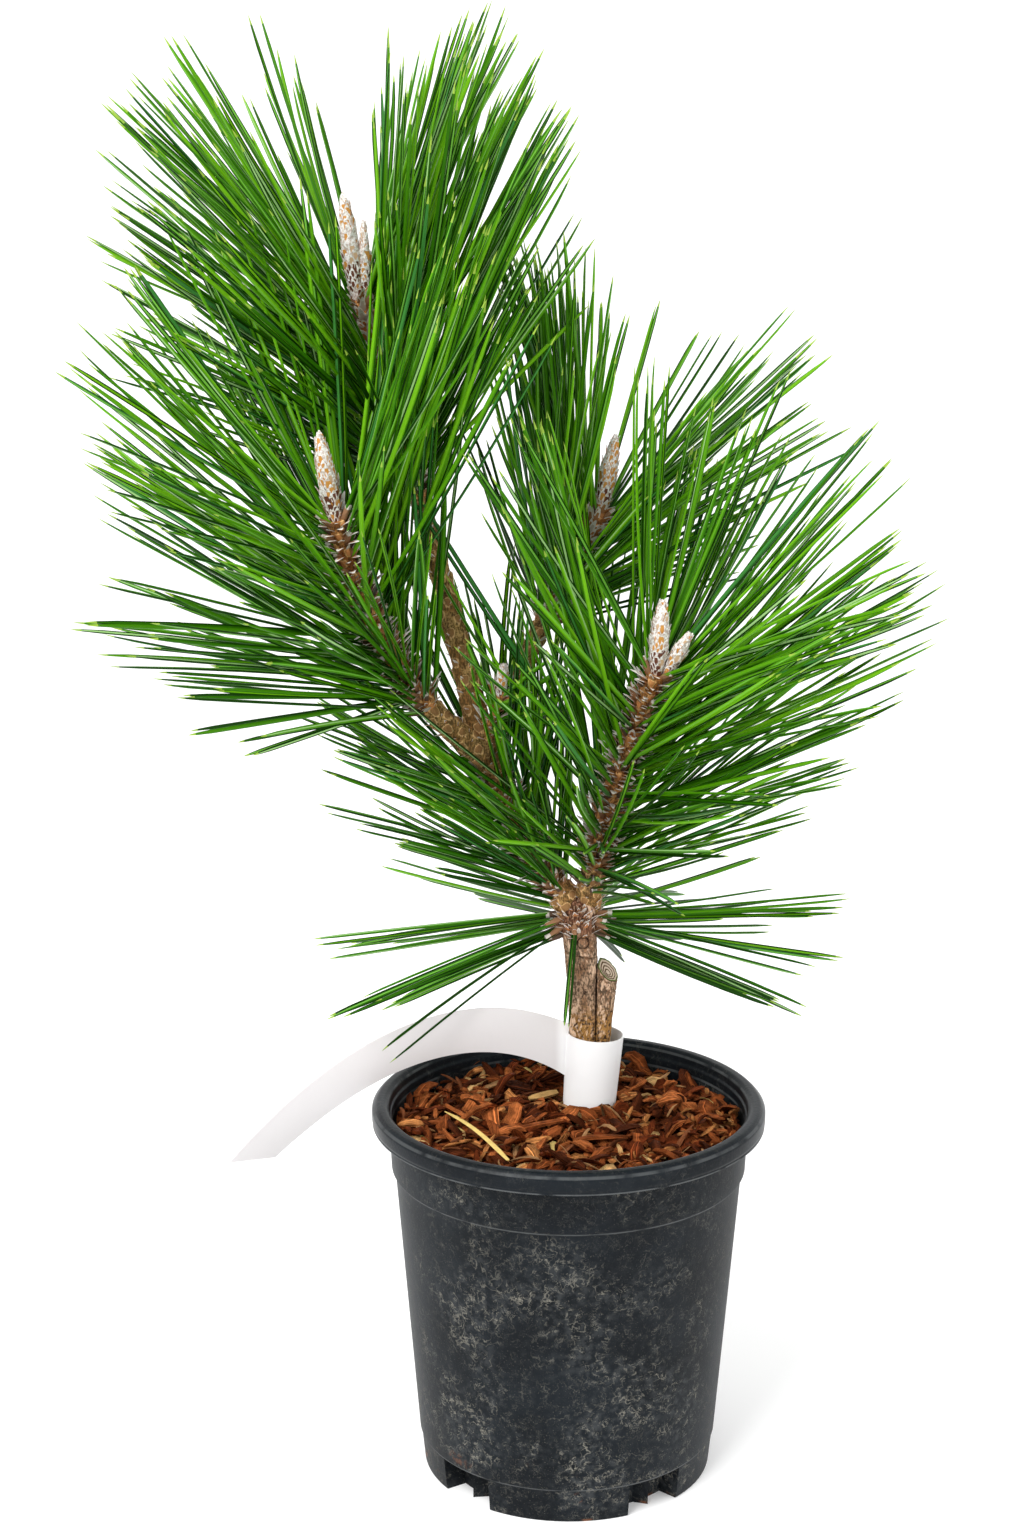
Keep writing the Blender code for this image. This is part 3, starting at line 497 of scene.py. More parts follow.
class Finish:
    """One node material: a Principled shader and what feeds it."""

    def __init__(self, name, colour, roughness, specular=0.06):
        self.material = bpy.data.materials.new(name)
        self.material.use_nodes = True
        self.tree = self.material.node_tree
        self.shader = self.tree.nodes["Principled BSDF"]
        self.feed("Base Color", colour)
        self.feed("Roughness", roughness)
        self.feed("Specular IOR Level", specular)

    def feed(self, name, value, node=None):
        """Set a socket of the shader, or of another node, or link a value to it."""
        socket = (node or self.shader).inputs[name]
        if isinstance(value, Value):
            self.tree.links.new(value.socket, socket)
        elif socket.type == "RGBA":
            socket.default_value = (*value, 1.0)
        elif value is not None:
            socket.default_value = value

    def node(self, kind, settings=None, inputs=None, output=0):
        """A node with its settings, then the values or links of its sockets."""
        node = self.tree.nodes.new(kind)
        for name, value in (settings or {}).items():
            setattr(node, name, value)
        for name, value in (inputs or {}).items():
            self.feed(name, value, node)
        return Value(self, node.outputs[output])

    def place(self):
        """Object coordinates."""
        return self.node("ShaderNodeTexCoord", output=3)

    def height(self):
        """Height above the floor, in metres."""
        return self.node("ShaderNodeSeparateXYZ", inputs={0: self.place()}, output=2)

    def relief(self):
        """The attribute that a mesh's own relief is kept in."""
        return self.node("ShaderNodeAttribute", {"attribute_name": "relief"}, output=2)

    def noise(self, scale, detail=3.0, vector=None, output=0):
        """Noise from about 0 to 1, with features of one over its scale in metres."""
        return self.node("ShaderNodeTexNoise", inputs={
            "Vector": vector or self.place(), "Scale": scale, "Detail": detail}, output=output)

    def stretched(self, factors):
        """Object coordinates multiplied by a factor along each axis."""
        return self.node("ShaderNodeVectorMath", {"operation": "MULTIPLY"},
                         {0: self.place(), 1: factors})

    def warped(self, scale, amount):
        """Object coordinates pushed about by noise."""
        return self.node("ShaderNodeVectorMath", {"operation": "MULTIPLY_ADD"},
                         {0: self.noise(scale, 2.0, output=1), 1: (amount,) * 3, 2: self.place()})

    def mix(self, factor, first, second):
        """One colour blended into another by a factor."""
        return self.node("ShaderNodeMix", {"data_type": "RGBA"},
                         {0: factor, 6: first, 7: second}, output=2)

    def bump(self, height, distance, strength=1.0):
        """Fine relief in the shading, from a height and a distance in metres."""
        self.feed("Normal", self.node("ShaderNodeBump", inputs={
            "Height": height, "Distance": distance, "Strength": strength}))


def plain_finishes(*rows):
    """Materials of one colour and one roughness each, in the order of their rows."""
    return [Finish(name, colour, roughness).material for name, colour, roughness in rows]


# Settings


def colour_property(name, description, default):
    """A colour setting."""
    return bpy.props.FloatVectorProperty(
        name=name, description=description, subtype="COLOR", size=3, min=0.0, max=1.0,
        default=default)


def length_property(name, description, default):
    """A length setting, in metres."""
    return bpy.props.FloatProperty(
        name=name, description=description, unit="LENGTH", min=0.0, default=default)


class PotSettings(bpy.types.PropertyGroup):
    """Colours and wear of the nursery pot."""

    plastic: colour_property("Plastic", "Colour of the moulded plastic", (0.0046, 0.0062, 0.0080))
    scuffs: colour_property("Scuffs", "Colour of dust and scratches", (0.200, 0.190, 0.160))
    scuffing: bpy.props.FloatProperty(
        name="Scuffing", description="How far the wall is scuffed", subtype="FACTOR",
        min=0.0, max=2.0, default=1.0)


class MixSettings(bpy.types.PropertyGroup):
    """Sizes and colours of the potting mix."""

    chips: bpy.props.IntProperty(
        name="Chips", description="Number of bark chips", min=0, max=3000, default=2100)
    chip_length: length_property("Chip length", "Length of a usual chip", 8.2 * MM)
    bark: colour_property("Bark", "Colour of a usual chip", (0.270, 0.070, 0.019))


class WoodSettings(bpy.types.PropertyGroup):
    """Relief and colours of trunk, boughs and shoots."""

    relief: length_property("Relief", "Depth of the trunk's bark", 0.75 * MM)
    flakes: colour_property("Flakes", "Colour of the trunk's plates", (0.430, 0.285, 0.185))
    young: colour_property("Young bark", "Colour of the shoots", (0.700, 0.340, 0.120))


class NeedleSettings(bpy.types.PropertyGroup):
    """Sizes and colours of the needles."""

    radius: length_property("Half width", "Half the width of one needle", 0.92 * MM)
    density: bpy.props.FloatProperty(
        name="Density", description="Share of the pairs of needles that are made",
        subtype="FACTOR", min=0.1, max=2.0, default=1.0)
    green: colour_property("Green", "Colour of a usual needle", (0.040, 0.165, 0.0015))
    tip: colour_property("Tip", "Colour of the sharp tips", (0.260, 0.400, 0.050))
    # Sheen is a painted highlight on the ridge of some needles and a pale stomatal line on others
    sheen: colour_property("Sheen", "Colour of the pale lines on some", (0.270, 0.470, 0.170))


class LabelSettings(bpy.types.PropertyGroup):
    """Size and colour of the strap label."""

    thickness: length_property("Thickness", "Thickness of the strap", STRAP_THICKNESS)
    plastic: colour_property("Plastic", "Colour of the collar", (0.880, 0.880, 0.885))
    # The tail's colour is the collar's white greyed by painted shade, as the tail faces down
    tail: colour_property("Tail", "Colour of the strap's tail", (0.690, 0.668, 0.672))


class StageSettings(bpy.types.PropertyGroup):
    """Floor, lights and camera."""

    key: bpy.props.FloatProperty(
        name="Key light", description="Power of the main light in watts", unit="POWER",
        min=0.0, default=70.0)
    fill: bpy.props.FloatProperty(
        name="Fill light", description="Power of the fill light in watts", unit="POWER",
        min=0.0, default=12.0)
    sky: bpy.props.FloatProperty(
        name="Surroundings", description="Brightness of the white surroundings",
        min=0.0, default=1.0)


# Pot


def plastic_finish(settings):
    """Slate-black moulded plastic: dusty clouds, curling scuffs, pale lines along edges, which
    are painted highlights on the rim's lip, and rusty spots.

    The scuffs are lines where a warped noise crosses its middle value, kept where a
    coarser noise is high, so that they curl, break off and gather in clouds.
    """
    finish = Finish("moulded_black", (0.03, 0.03, 0.03), 0.5, 0.08)
    height = finish.height()
    wall = height.step(*WALL_TOP)
    amount = settings.scuffing * (0.22 + wall * (0.50 + 0.36 * height.step(*DUST_HEIGHTS)))
    cloud = finish.noise(38.0, 5.0).step(0.42, 0.66)
    mottle = finish.noise(330.0, 6.0).step(0.40, 0.72)

    def curls(scale, thin, warp, kept):
        off = finish.noise(scale, 3.0, finish.warped(warp, 0.006)) - 0.5
        return (off * off).step(thin, 0.0) * kept

    wisps = curls(190.0, 0.0006, 150.0, finish.noise(120.0, 3.0).step(0.50, 0.64))
    fibres = curls(420.0, 0.0009, 300.0, finish.noise(260.0, 2.0).step(0.46, 0.62))
    specks = finish.noise(1500.0, 2.0).step(0.64, 0.72)
    scuffs = wisps * (0.25 + 0.60 * cloud) + fibres * (0.16 + 0.75 * cloud) + specks * 0.36
    scuffs = scuffs * amount
    haze = (cloud * 0.80 + 0.15) * mottle * amount
    colour = finish.mix(finish.noise(26.0, 4.0).step(0.36, 0.64), settings.plastic,
                        tuple(1.7 * c for c in settings.plastic))
    colour = finish.mix(haze * 0.60, colour, (0.060, 0.064, 0.066))
    colour = finish.mix(scuffs * 0.75, colour, settings.scuffs)

    # Pale lines along edges; the ones on the rim are painted highlights along its lip
    def pale_edge(low, high, strength, colour):
        edge = height.step(low - 0.0004, low) * height.step(high + 0.0004, high)
        return finish.mix(edge * finish.noise(90.0, 3.0).step(0.30, 0.56) * strength, colour,
                          (0.150, 0.158, 0.160))

    for low, high, strength in PALE_EDGE_LINES:
        colour = pale_edge(low, high, strength, colour)
    spots = finish.noise(75.0, 3.0).step(0.62, 0.70) * height.step(*SPOT_HEIGHTS)
    rust = (spots * finish.noise(420.0, 3.0).step(0.45, 0.58) * 0.8
            + height.step(*FOOT_HEIGHTS) * finish.noise(60.0, 3.0).step(0.58, 0.66))
    colour = finish.mix(rust, colour, (0.190, 0.075, 0.035))
    finish.feed("Base Color", colour)
    finish.feed("Roughness", 0.30 + 0.22 * haze + 0.30 * scuffs + 0.14 * wall)
    finish.bump(finish.noise(700.0, 3.0) * 0.5 + scuffs * 0.4, 0.00025, 0.5)
    return finish.material


def rounded(points, radius):
    """A profile with each inner corner replaced by a curve (1-t)^2 a + 2 t (1-t) c + t^2 b."""
    points = np.array(points)
    made = [points[0]]
    for before, corner, after in zip(points, points[1:], points[2:]):
        back = before - corner
        ahead = after - corner
        reach = min(radius, 0.45 * np.linalg.norm(back), 0.45 * np.linalg.norm(ahead))
        start = corner + unit(back) * reach
        end = corner + unit(ahead) * reach
        for t in np.linspace(0.0, 1.0, CORNER_STEPS + 1):
            made.append((1 - t) ** 2 * start + 2 * t * (1 - t) * corner + t * t * end)
    made.append(points[-1])
    return np.array(made)


def densify(profile, step):
    """A profile with points added so that none is further than a step from the next."""
    gaps = np.linalg.norm(np.diff(profile, axis=0), axis=1)
    counts = np.maximum(1, np.ceil(gaps / step)).astype(int)
    made = [start + (end - start) * (np.arange(n) / n)[:, None]
            for start, end, n in zip(profile, profile[1:], counts)]
    return np.concatenate(made + [profile[-1:]])


def turned(profile, steps):
    """Rings and poles of a profile of (radius, height) turned round Z, from axis to axis."""
    circle = round_section(steps)
    radii, heights = profile[1:-1, 0], profile[1:-1, 1]
    rings = np.empty((1, len(radii), steps, 3))
    rings[0, :, :, :2] = radii[:, None, None] * circle
    rings[0, :, :, 2] = heights[:, None]
    poles = np.array([[(0.0, 0.0, profile[0, 1]), (0.0, 0.0, profile[-1, 1])]])
    return rings, poles


def block(plan, bottom, top):
    """Rings and poles of an upright block over a plan of (x, y) points."""
    plan = np.asarray(plan)
    rings = np.array([[[(x, y, z) for x, y in plan] for z in (bottom, top)]])
    middle = plan.mean(axis=0)
    poles = np.array([[(*middle, bottom), (*middle, top)]])
    return rings, poles


def sector_plan(angle, half_angle, inner, outer):
    """Plan of a block of a ring, about one bearing from the front."""
    bearings = np.linspace(angle - half_angle, angle + half_angle, SECTOR_STEPS)
    arc = np.stack((np.sin(bearings), -np.cos(bearings)), axis=-1)
    return np.concatenate((inner * arc[::-1], outer * arc))


def cut(piece, operands, operation):
    """One applied Boolean of a piece with others, which are then removed."""
    group = bpy.data.collections.new("operands")
    bpy.context.scene.collection.children.link(group)
    for operand in operands:
        bpy.context.scene.collection.objects.unlink(operand)
        group.objects.link(operand)
    modifier = piece.modifiers.new(operation, "BOOLEAN")
    modifier.operation = operation
    modifier.operand_type = "COLLECTION"
    modifier.collection = group
    modifier.solver = "EXACT"
    depsgraph = bpy.context.evaluated_depsgraph_get()
    mesh = bpy.data.meshes.new_from_object(piece.evaluated_get(depsgraph))
    piece.modifiers.clear()
    piece.data = mesh
    for operand in operands:
        bpy.data.objects.remove(operand)
    bpy.data.collections.remove(group)


def solid(name, rings, poles):
    """One closed skin as an object of its own."""
    return one_piece(name, (), (rings, poles))


def pot_profile():
    """Outline of the pot from the axis under its floor, over the rim, to the axis inside."""
    lip_bottom = POT_HEIGHT - RIM_DEPTH
    wall_foot = SKIRT_TOP_RADIUS + 0.6 * MM
    outside = [
        (0.0, 0.0), (FOOT_RADIUS, 0.0), (SKIRT_TOP_RADIUS, SKIRT_HEIGHT - 0.5 * MM),
        (SKIRT_TOP_RADIUS + 0.1 * MM, SKIRT_HEIGHT - 0.1 * MM), (wall_foot, SKIRT_HEIGHT + 0.4 * MM),
        (SHOULDER_RADIUS, SHOULDER_HEIGHT), (BAND_RADIUS, SHOULDER_HEIGHT + 1.0 * MM),
        (NECK_RADIUS, POT_HEIGHT - 3.6 * MM), (RIM_RADIUS - 1.9 * MM, POT_HEIGHT - 3.4 * MM),
        (RIM_RADIUS - 1.9 * MM, lip_bottom + 0.2 * MM), (RIM_RADIUS - 1.0 * MM, lip_bottom),
        (RIM_RADIUS - 0.1 * MM, lip_bottom + 0.3 * MM), (RIM_RADIUS - 0.5 * MM, lip_bottom + 1.1 * MM),
        (RIM_RADIUS, lip_bottom + 2.2 * MM), (RIM_RADIUS, POT_HEIGHT - 2.2 * MM),
        (RIM_RADIUS - 2.2 * MM, POT_HEIGHT), (NECK_RADIUS + 1.4 * MM, POT_HEIGHT),
        (NECK_RADIUS - 0.3 * MM, POT_HEIGHT - 1.6 * MM), (NECK_RADIUS - 0.6 * MM, POT_HEIGHT - 4.6 * MM),
        (NECK_RADIUS - 1.5 * MM, POT_HEIGHT - 5.2 * MM), (NECK_RADIUS - 1.7 * MM, MIX_TOP),
    ]
    inside = [
        (BAND_RADIUS - POT_WALL, SHOULDER_HEIGHT + 2.0 * MM),
        (SHOULDER_RADIUS - POT_WALL, SHOULDER_HEIGHT + 0.5 * MM),
        (wall_foot - POT_WALL, SKIRT_HEIGHT + 1.0 * MM),
        (FOOT_RADIUS - POT_WALL, FLOOR_THICKNESS), (0.0, FLOOR_THICKNESS),
    ]
    return densify(rounded(outside + inside, 0.8 * MM), 6.0 * MM)


def make_pot(settings):
    """The pot: its profile turned, then its drain pockets cut, each with a pointed rib."""
    pot = solid("nursery_pot", *turned(pot_profile(), POT_SIDES))
    shells, pockets = [], []
    for angle in POCKET_ANGLES:
        shells.append(solid("shell", *block(sector_plan(
            angle, POCKET_HALF_ANGLE + POT_WALL / POCKET_BACK_RADIUS,
            POCKET_BACK_RADIUS - POT_WALL, FOOT_RADIUS - 0.5 * MM),
            0.5 * FLOOR_THICKNESS, POCKET_HEIGHT + POT_WALL)))
        pocket = solid("pocket", *block(sector_plan(
            angle, POCKET_HALF_ANGLE, POCKET_BACK_RADIUS, RIM_RADIUS), -2.0 * MM, POCKET_HEIGHT))
        out = np.array((math.sin(angle), -math.cos(angle)))
        aside = np.array((math.cos(angle), math.sin(angle)))
        back = (POCKET_BACK_RADIUS - 0.5 * POT_WALL) * out
        plan = (back - RIB_HALF_WIDTH * aside, RIB_EDGE_RADIUS * out, back + RIB_HALF_WIDTH * aside)
        rib = solid("rib", *block(plan, -4.0 * MM, POCKET_HEIGHT + 4.0 * MM))
        cut(pocket, [rib], "DIFFERENCE")
        pockets.append(pocket)
    cut(pot, shells, "UNION")
    cut(pot, pockets, "DIFFERENCE")
    pot.data.materials.clear()
    dress(pot.data, [plastic_finish(settings)], math.radians(32.0))
    place(pot, "pot", "pot")


# Potting mix


def chip_finish(name, colour, spread):
    """Shredded bark: fibres along each chip, blotches, and painted shade in the hollows below the top.
    """
    finish = Finish(name, colour, 0.74, 0.03)
    fibres = finish.node("ShaderNodeTexNoise", {"noise_dimensions": "1D"}, {
        "W": finish.relief() + 0.05 * finish.noise(220.0, 2.0), "Scale": 7.0, "Detail": 3.0})
    blotches = finish.noise(260.0, 4.0).step(0.36, 0.64)
    dark = tuple(c * (1.0 - 0.72 * spread) for c in colour)
    light = tuple(min(1.0, c * (1.0 + 0.95 * spread)) for c in colour)
    body = finish.mix(blotches, dark, colour)
    body = finish.mix(fibres.step(0.54, 0.72), body, light)
    body = finish.mix(fibres.step(0.46, 0.34) * 0.8, body, dark)
    # Painted shade: chips darken towards the hollows below the top of the mix
    depth = (finish.height() + 0.0012 * blotches).step(MIX_TOP - 0.2 * MM, MIX_TOP - 3.4 * MM)
    finish.feed("Base Color", finish.mix(depth * 0.85, body, tuple(0.16 * c for c in colour)))
    finish.bump(fibres + 0.5 * blotches, 0.0008, 0.9)
    return finish.material


def chip_paths(count, length, rng, lift):
    """Middle lines of bent splinters strewn over the mix, their ways aside and lengths.

    Chip k lies at share (k + 1/2) / count of the area, k golden angles round. Near the wall
    chips lie along it. Each line is straight but for an arch 4 s (1 - s).
    """
    share = (np.arange(count) + 0.5) / count
    bearing = np.arange(count) * GOLDEN_ANGLE + rng.uniform(-0.3, 0.3, count)
    lengths = np.minimum(length * np.exp(rng.normal(0.0, 0.48, count)), LONGEST_CHIP)
    reach = np.minimum(MIX_RADIUS * np.sqrt(share), MIX_RADIUS - 0.30 * lengths)
    yaw = rng.uniform(0.0, math.tau, count)
    by_wall = reach > MIX_RADIUS - 0.62 * lengths
    yaw[by_wall] = bearing[by_wall] + math.pi / 2 + rng.uniform(-0.35, 0.35, count)[by_wall]
    pitch = np.clip(rng.normal(0.0, 0.38, count), -1.0, 1.0)
    heading = np.stack((np.cos(yaw) * np.cos(pitch), np.sin(yaw) * np.cos(pitch), np.sin(pitch)), -1)
    centre = np.stack((reach * np.cos(bearing), reach * np.sin(bearing), np.zeros(count)), -1)
    ground = MIX_LUMPS * smooth_noise(centre / (14 * MM), 5)
    heaped = 6.0 * MM * rng.uniform(0.0, 1.0, count) ** 1.3
    centre[:, 2] = MIX_TOP - 2.4 * MM + ground + heaped + lift
    on = CHIP_SHARES[None, :, None]
    paths = centre[:, None] + (on - 0.5) * lengths[:, None, None] * heading[:, None]
    aside = unit(np.cross(heading, UP))
    bend = rng.normal(0.0, 0.11, (count, 2)) * lengths[:, None]
    arch = 4.0 * on * (1.0 - on)
    paths = paths + arch * (bend[:, :1, None] * aside[:, None] + np.abs(bend[:, 1:, None]) * UP)
    return paths, aside, lengths


def chip_sweeps(count, length, rng, lift=0.0):
    """Skins of ragged flat splinters inside the pot, and how far along its fibres each point is."""
    paths, aside, lengths = chip_paths(count, length, rng, lift)
    _, first, second = frames(paths, aside + rng.normal(0.0, 0.50, (count, 3)))
    width = np.clip(lengths * rng.uniform(0.10, 0.30, count), 0.6 * MM, 3.6 * MM)
    thick = np.clip(width * rng.uniform(0.20, 0.55, count), 0.35 * MM, 1.2 * MM)
    grid = (count, len(CHIP_SHARES), CHIP_SIDES)
    ragged = rng.uniform(0.70, 1.25, grid) * CHIP_FULLNESS[None, :, None]
    section = round_section(CHIP_SIDES) * ragged[..., None]
    section = section * np.stack((width, thick), -1)[:, None, None]
    rings, poles = sweep(paths, first, second, section)
    inside = np.linalg.norm(rings[..., :2], axis=-1).max(axis=(1, 2)) <= NECK_RADIUS - 2.6 * MM
    fibre = rng.uniform(0.0, 90.0, count)[:, None, None] + np.arange(CHIP_SIDES) * 0.7
    fibre = np.broadcast_to(fibre, grid)
    return rings[inside], poles[inside], fibre[inside]


def away_from_collar(rings):
    """Distance of each skin's middle from the collar's foot, seen from above."""
    return np.linalg.norm(rings.mean(axis=(1, 2))[:, :2] - COLLAR_FOOT[:2], axis=-1)


def make_mix_body():
    """The body of the mix, fitted inside the pot, with a lumpy top."""
    outline = np.array((
        (POCKET_BACK_RADIUS - 2.0 * MM, FLOOR_THICKNESS + 0.4 * MM),
        (POCKET_BACK_RADIUS - 2.0 * MM, SKIRT_HEIGHT + 2.0 * MM),
        (SKIRT_TOP_RADIUS - 1.5 * MM, SKIRT_HEIGHT + 2.0 * MM),
        (SHOULDER_RADIUS - 2.0 * MM, SHOULDER_HEIGHT),
        (MIX_RADIUS, MIX_TOP - 4.0 * MM), (MIX_RADIUS - MM, MIX_TOP - 2.0 * MM),
        (0.0, MIX_TOP - 2.0 * MM)))
    foot = [[0.0, FLOOR_THICKNESS + 0.4 * MM]]
    rings, poles = turned(np.concatenate((foot, densify(outline, 1.6 * MM))), MIX_SIDES)
    top = rings[..., 2] > MIX_TOP - 2.5 * MM
    rings[..., 2] += np.where(top, MIX_LUMPS * layered_noise(rings / (5 * MM), 3, 3), 0.0)
    bed = chip_finish("mix_body", (0.022, 0.007, 0.003), 0.6)
    place(one_piece("mix_body", [bed], (rings, poles)), "potting_mix", "potting_mix")


def make_chips(settings, rng):
    """Bark chips over the whole top in six browns, kept off the collar."""
    base = np.array(settings.bark)
    tints = [base, base * (0.30, 0.28, 0.35), base * (1.70, 1.90, 2.0), base * (0.60, 0.48, 0.50),
             np.array((0.560, 0.220, 0.068)), np.array((0.760, 0.420, 0.170))]
    finishes = [chip_finish(f"bark_chip_{i}", tuple(float(c) for c in tint), 0.85)
                for i, tint in enumerate(tints)]
    rings, poles, fibre = chip_sweeps(settings.chips, settings.chip_length, rng)
    picks = rng.choice(len(tints), len(rings), p=(0.26, 0.27, 0.15, 0.20, 0.09, 0.03))
    kept = away_from_collar(rings) > 10.0 * MM
    skins = (rings[kept], poles[kept], picks[kept][:, None, None], fibre[kept])
    place(one_piece("bark_chips", finishes, skins, math.radians(30.0)), "potting_mix", "potting_mix")


def long_straw():
    """One long straw that lies on the mix at its left front, a little arched."""
    shares = np.linspace(0.0, 1.0, 14)[None, :, None]
    path = mm(-51.9, 1.1, 156.5) + shares * (mm(-25.3, -53.4, 157.0) - mm(-51.9, 1.1, 156.5))
    path = path + 2.2 * MM * np.sin(math.pi * shares) * UP
    _, first, second = frames(path, UP)
    widths = np.interp(shares[0, :, 0], (0, 0.15, 0.85, 1), (0.4, 1.1, 1.3, 0.8)) * MM
    section = round_section(5) * widths[None, :, None, None] * np.array((0.35, 1.0))
    return sweep(path, first, second, section)


def wood_block():
    """A pale flat piece of wood on the mix, to the left of the trunk."""
    path = (mm(-16.4, 21.0, 154.6) + np.linspace(0.0, 1.0, 6)[:, None] * mm(12.0, 4.5, 1.4))[None]
    _, first, second = frames(path, UP)
    section = round_section(5) * np.array((0.55, 0.9, 1.0, 1.0, 0.95, 0.7))[None, :, None, None]
    return sweep(path, first, second, section * np.array((1.3, 3.0)) * MM)


def make_straws(settings, rng):
    """Thin splinters on the chips, with one long straw and one pale piece of wood."""
    straws = Batch()
    rings, poles, fibre = chip_sweeps(STRAW_COUNT, 0.9 * settings.chip_length, rng, 2.0 * MM)
    middle = rings.mean(axis=2, keepdims=True)
    rings = middle + (rings - middle) * 0.42
    picks = rng.choice(3, len(rings), p=(0.55, 0.41, 0.04))
    kept = away_from_collar(rings) > 13.0 * MM
    straws.add(rings[kept], poles[kept], picks[kept][:, None, None], fibre[kept])
    straws.add(*long_straw(), 2)
    straws.add(*wood_block(), 3, np.arange(5) * 1.1)
    finishes = [chip_finish("splinter_tan", (0.480, 0.250, 0.110), 0.5),
                chip_finish("splinter_red", (0.240, 0.080, 0.032), 0.6),
                chip_finish("straw_yellow", (0.620, 0.450, 0.150), 0.35),
                chip_finish("wood_pale", (0.560, 0.330, 0.120), 0.55)]
    place(straws.piece("straws", finishes, math.radians(40.0)), "potting_mix", "potting_mix")


def make_mix(settings):
    """The mix: a body with a lumpy top under bark chips, splinters and a few straws."""
    rng = np.random.default_rng(SEED)
    make_mix_body()
    make_chips(settings, rng)
    make_straws(settings, rng)


# Wood


def limb_route(name, shares):
    """Points and radii of a limb: the straight run plus a bow fullest half way, and a taper.

    The trunk's radius has a flare at the foot and a swelling at the fork besides.
    """
    foot, tip, bow, radii = LIMBS[name]
    shares = np.asarray(shares, dtype=float)
    points = foot + shares[:, None] * (tip - foot) + (4.0 * shares * (1.0 - shares))[:, None] * bow
    radius = radii[0] + shares * (radii[1] - radii[0])
    if name == "trunk":
        swell = np.clip((shares - 0.62) / 0.38, 0.0, 1.0) ** 2
        radius = radius + 3.1 * MM * np.exp(-shares / 0.10) + 2.0 * MM * swell
    return points, radius


def bark_finish(name, plate, crack, peg=None, warm=None, young=None):
    """Bark coloured by its own relief: dark in the cracks, pale on the edges of the flakes, partly
    the bark's own colours and partly painted shade in the cracks and painted highlight on the edges.

    Pegs are the highest relief and take their own colour where it is given. Near the foot a
    warm tint comes through, and near the fork the scaly bark is browner.
    """
    finish = Finish(name, plate, 0.86)
    relief = finish.relief()
    grain = finish.noise(1500.0, 4.0, finish.stretched((1.0, 1.0, 0.35)))
    wrinkles = finish.noise(1500.0, 2.0, finish.stretched((0.35, 0.35, 1.0)))
    flecks = finish.noise(700.0, 3.0)
    patches = finish.noise(190.0, 4.0, finish.stretched((1.0, 1.0, 0.5)))
    pale = tuple(min(1.0, c * 1.7 + 0.08) for c in plate)
    brown = tuple(c * f for c, f in zip(plate, (0.62, 0.50, 0.42)))
    colour = finish.mix(patches.step(0.40, 0.60), brown, plate)
    colour = finish.mix(grain.step(0.56, 0.40), colour, tuple(c * 0.26 for c in plate))
    colour = finish.mix(wrinkles.step(0.45, 0.36) * 0.7, colour, tuple(c * 0.22 for c in plate))
    if young:
        height = finish.height()
        scaly = height.step(*SCALY_HEIGHTS) * flecks.step(0.62, 0.44)
        colour = finish.mix(scaly, colour, young)
        specked = height.step(*SPECKED_HEIGHTS) * grain.step(0.55, 0.45)
        colour = finish.mix(specked, colour, tuple(0.3 * c for c in young))
    if warm:
        foot = finish.height().step(*WARM_HEIGHTS)
        colour = finish.mix(foot * flecks.step(0.36, 0.54) * 0.8, colour, warm)
        colour = finish.mix(foot * flecks.step(0.50, 0.42) * 0.8, colour, crack)
    # Pale raised edges of the flakes: the bark's own paler plates with a painted highlight
    colour = finish.mix((relief + 0.6 * grain).step(0.92, 1.16) * 0.75, colour, pale)
    if peg:
        colour = finish.mix(relief.step(0.80, 0.98), colour, peg)
    # Dark cracks: the bark's own dark fissures with painted shade in them
    colour = finish.mix((relief + 0.45 * flecks).step(0.60, 0.24) * 0.94, colour, crack)
    finish.feed("Base Color", colour)
    finish.bump(relief * 0.7 + grain * 0.8, 0.0009, 1.0)
    return finish.material


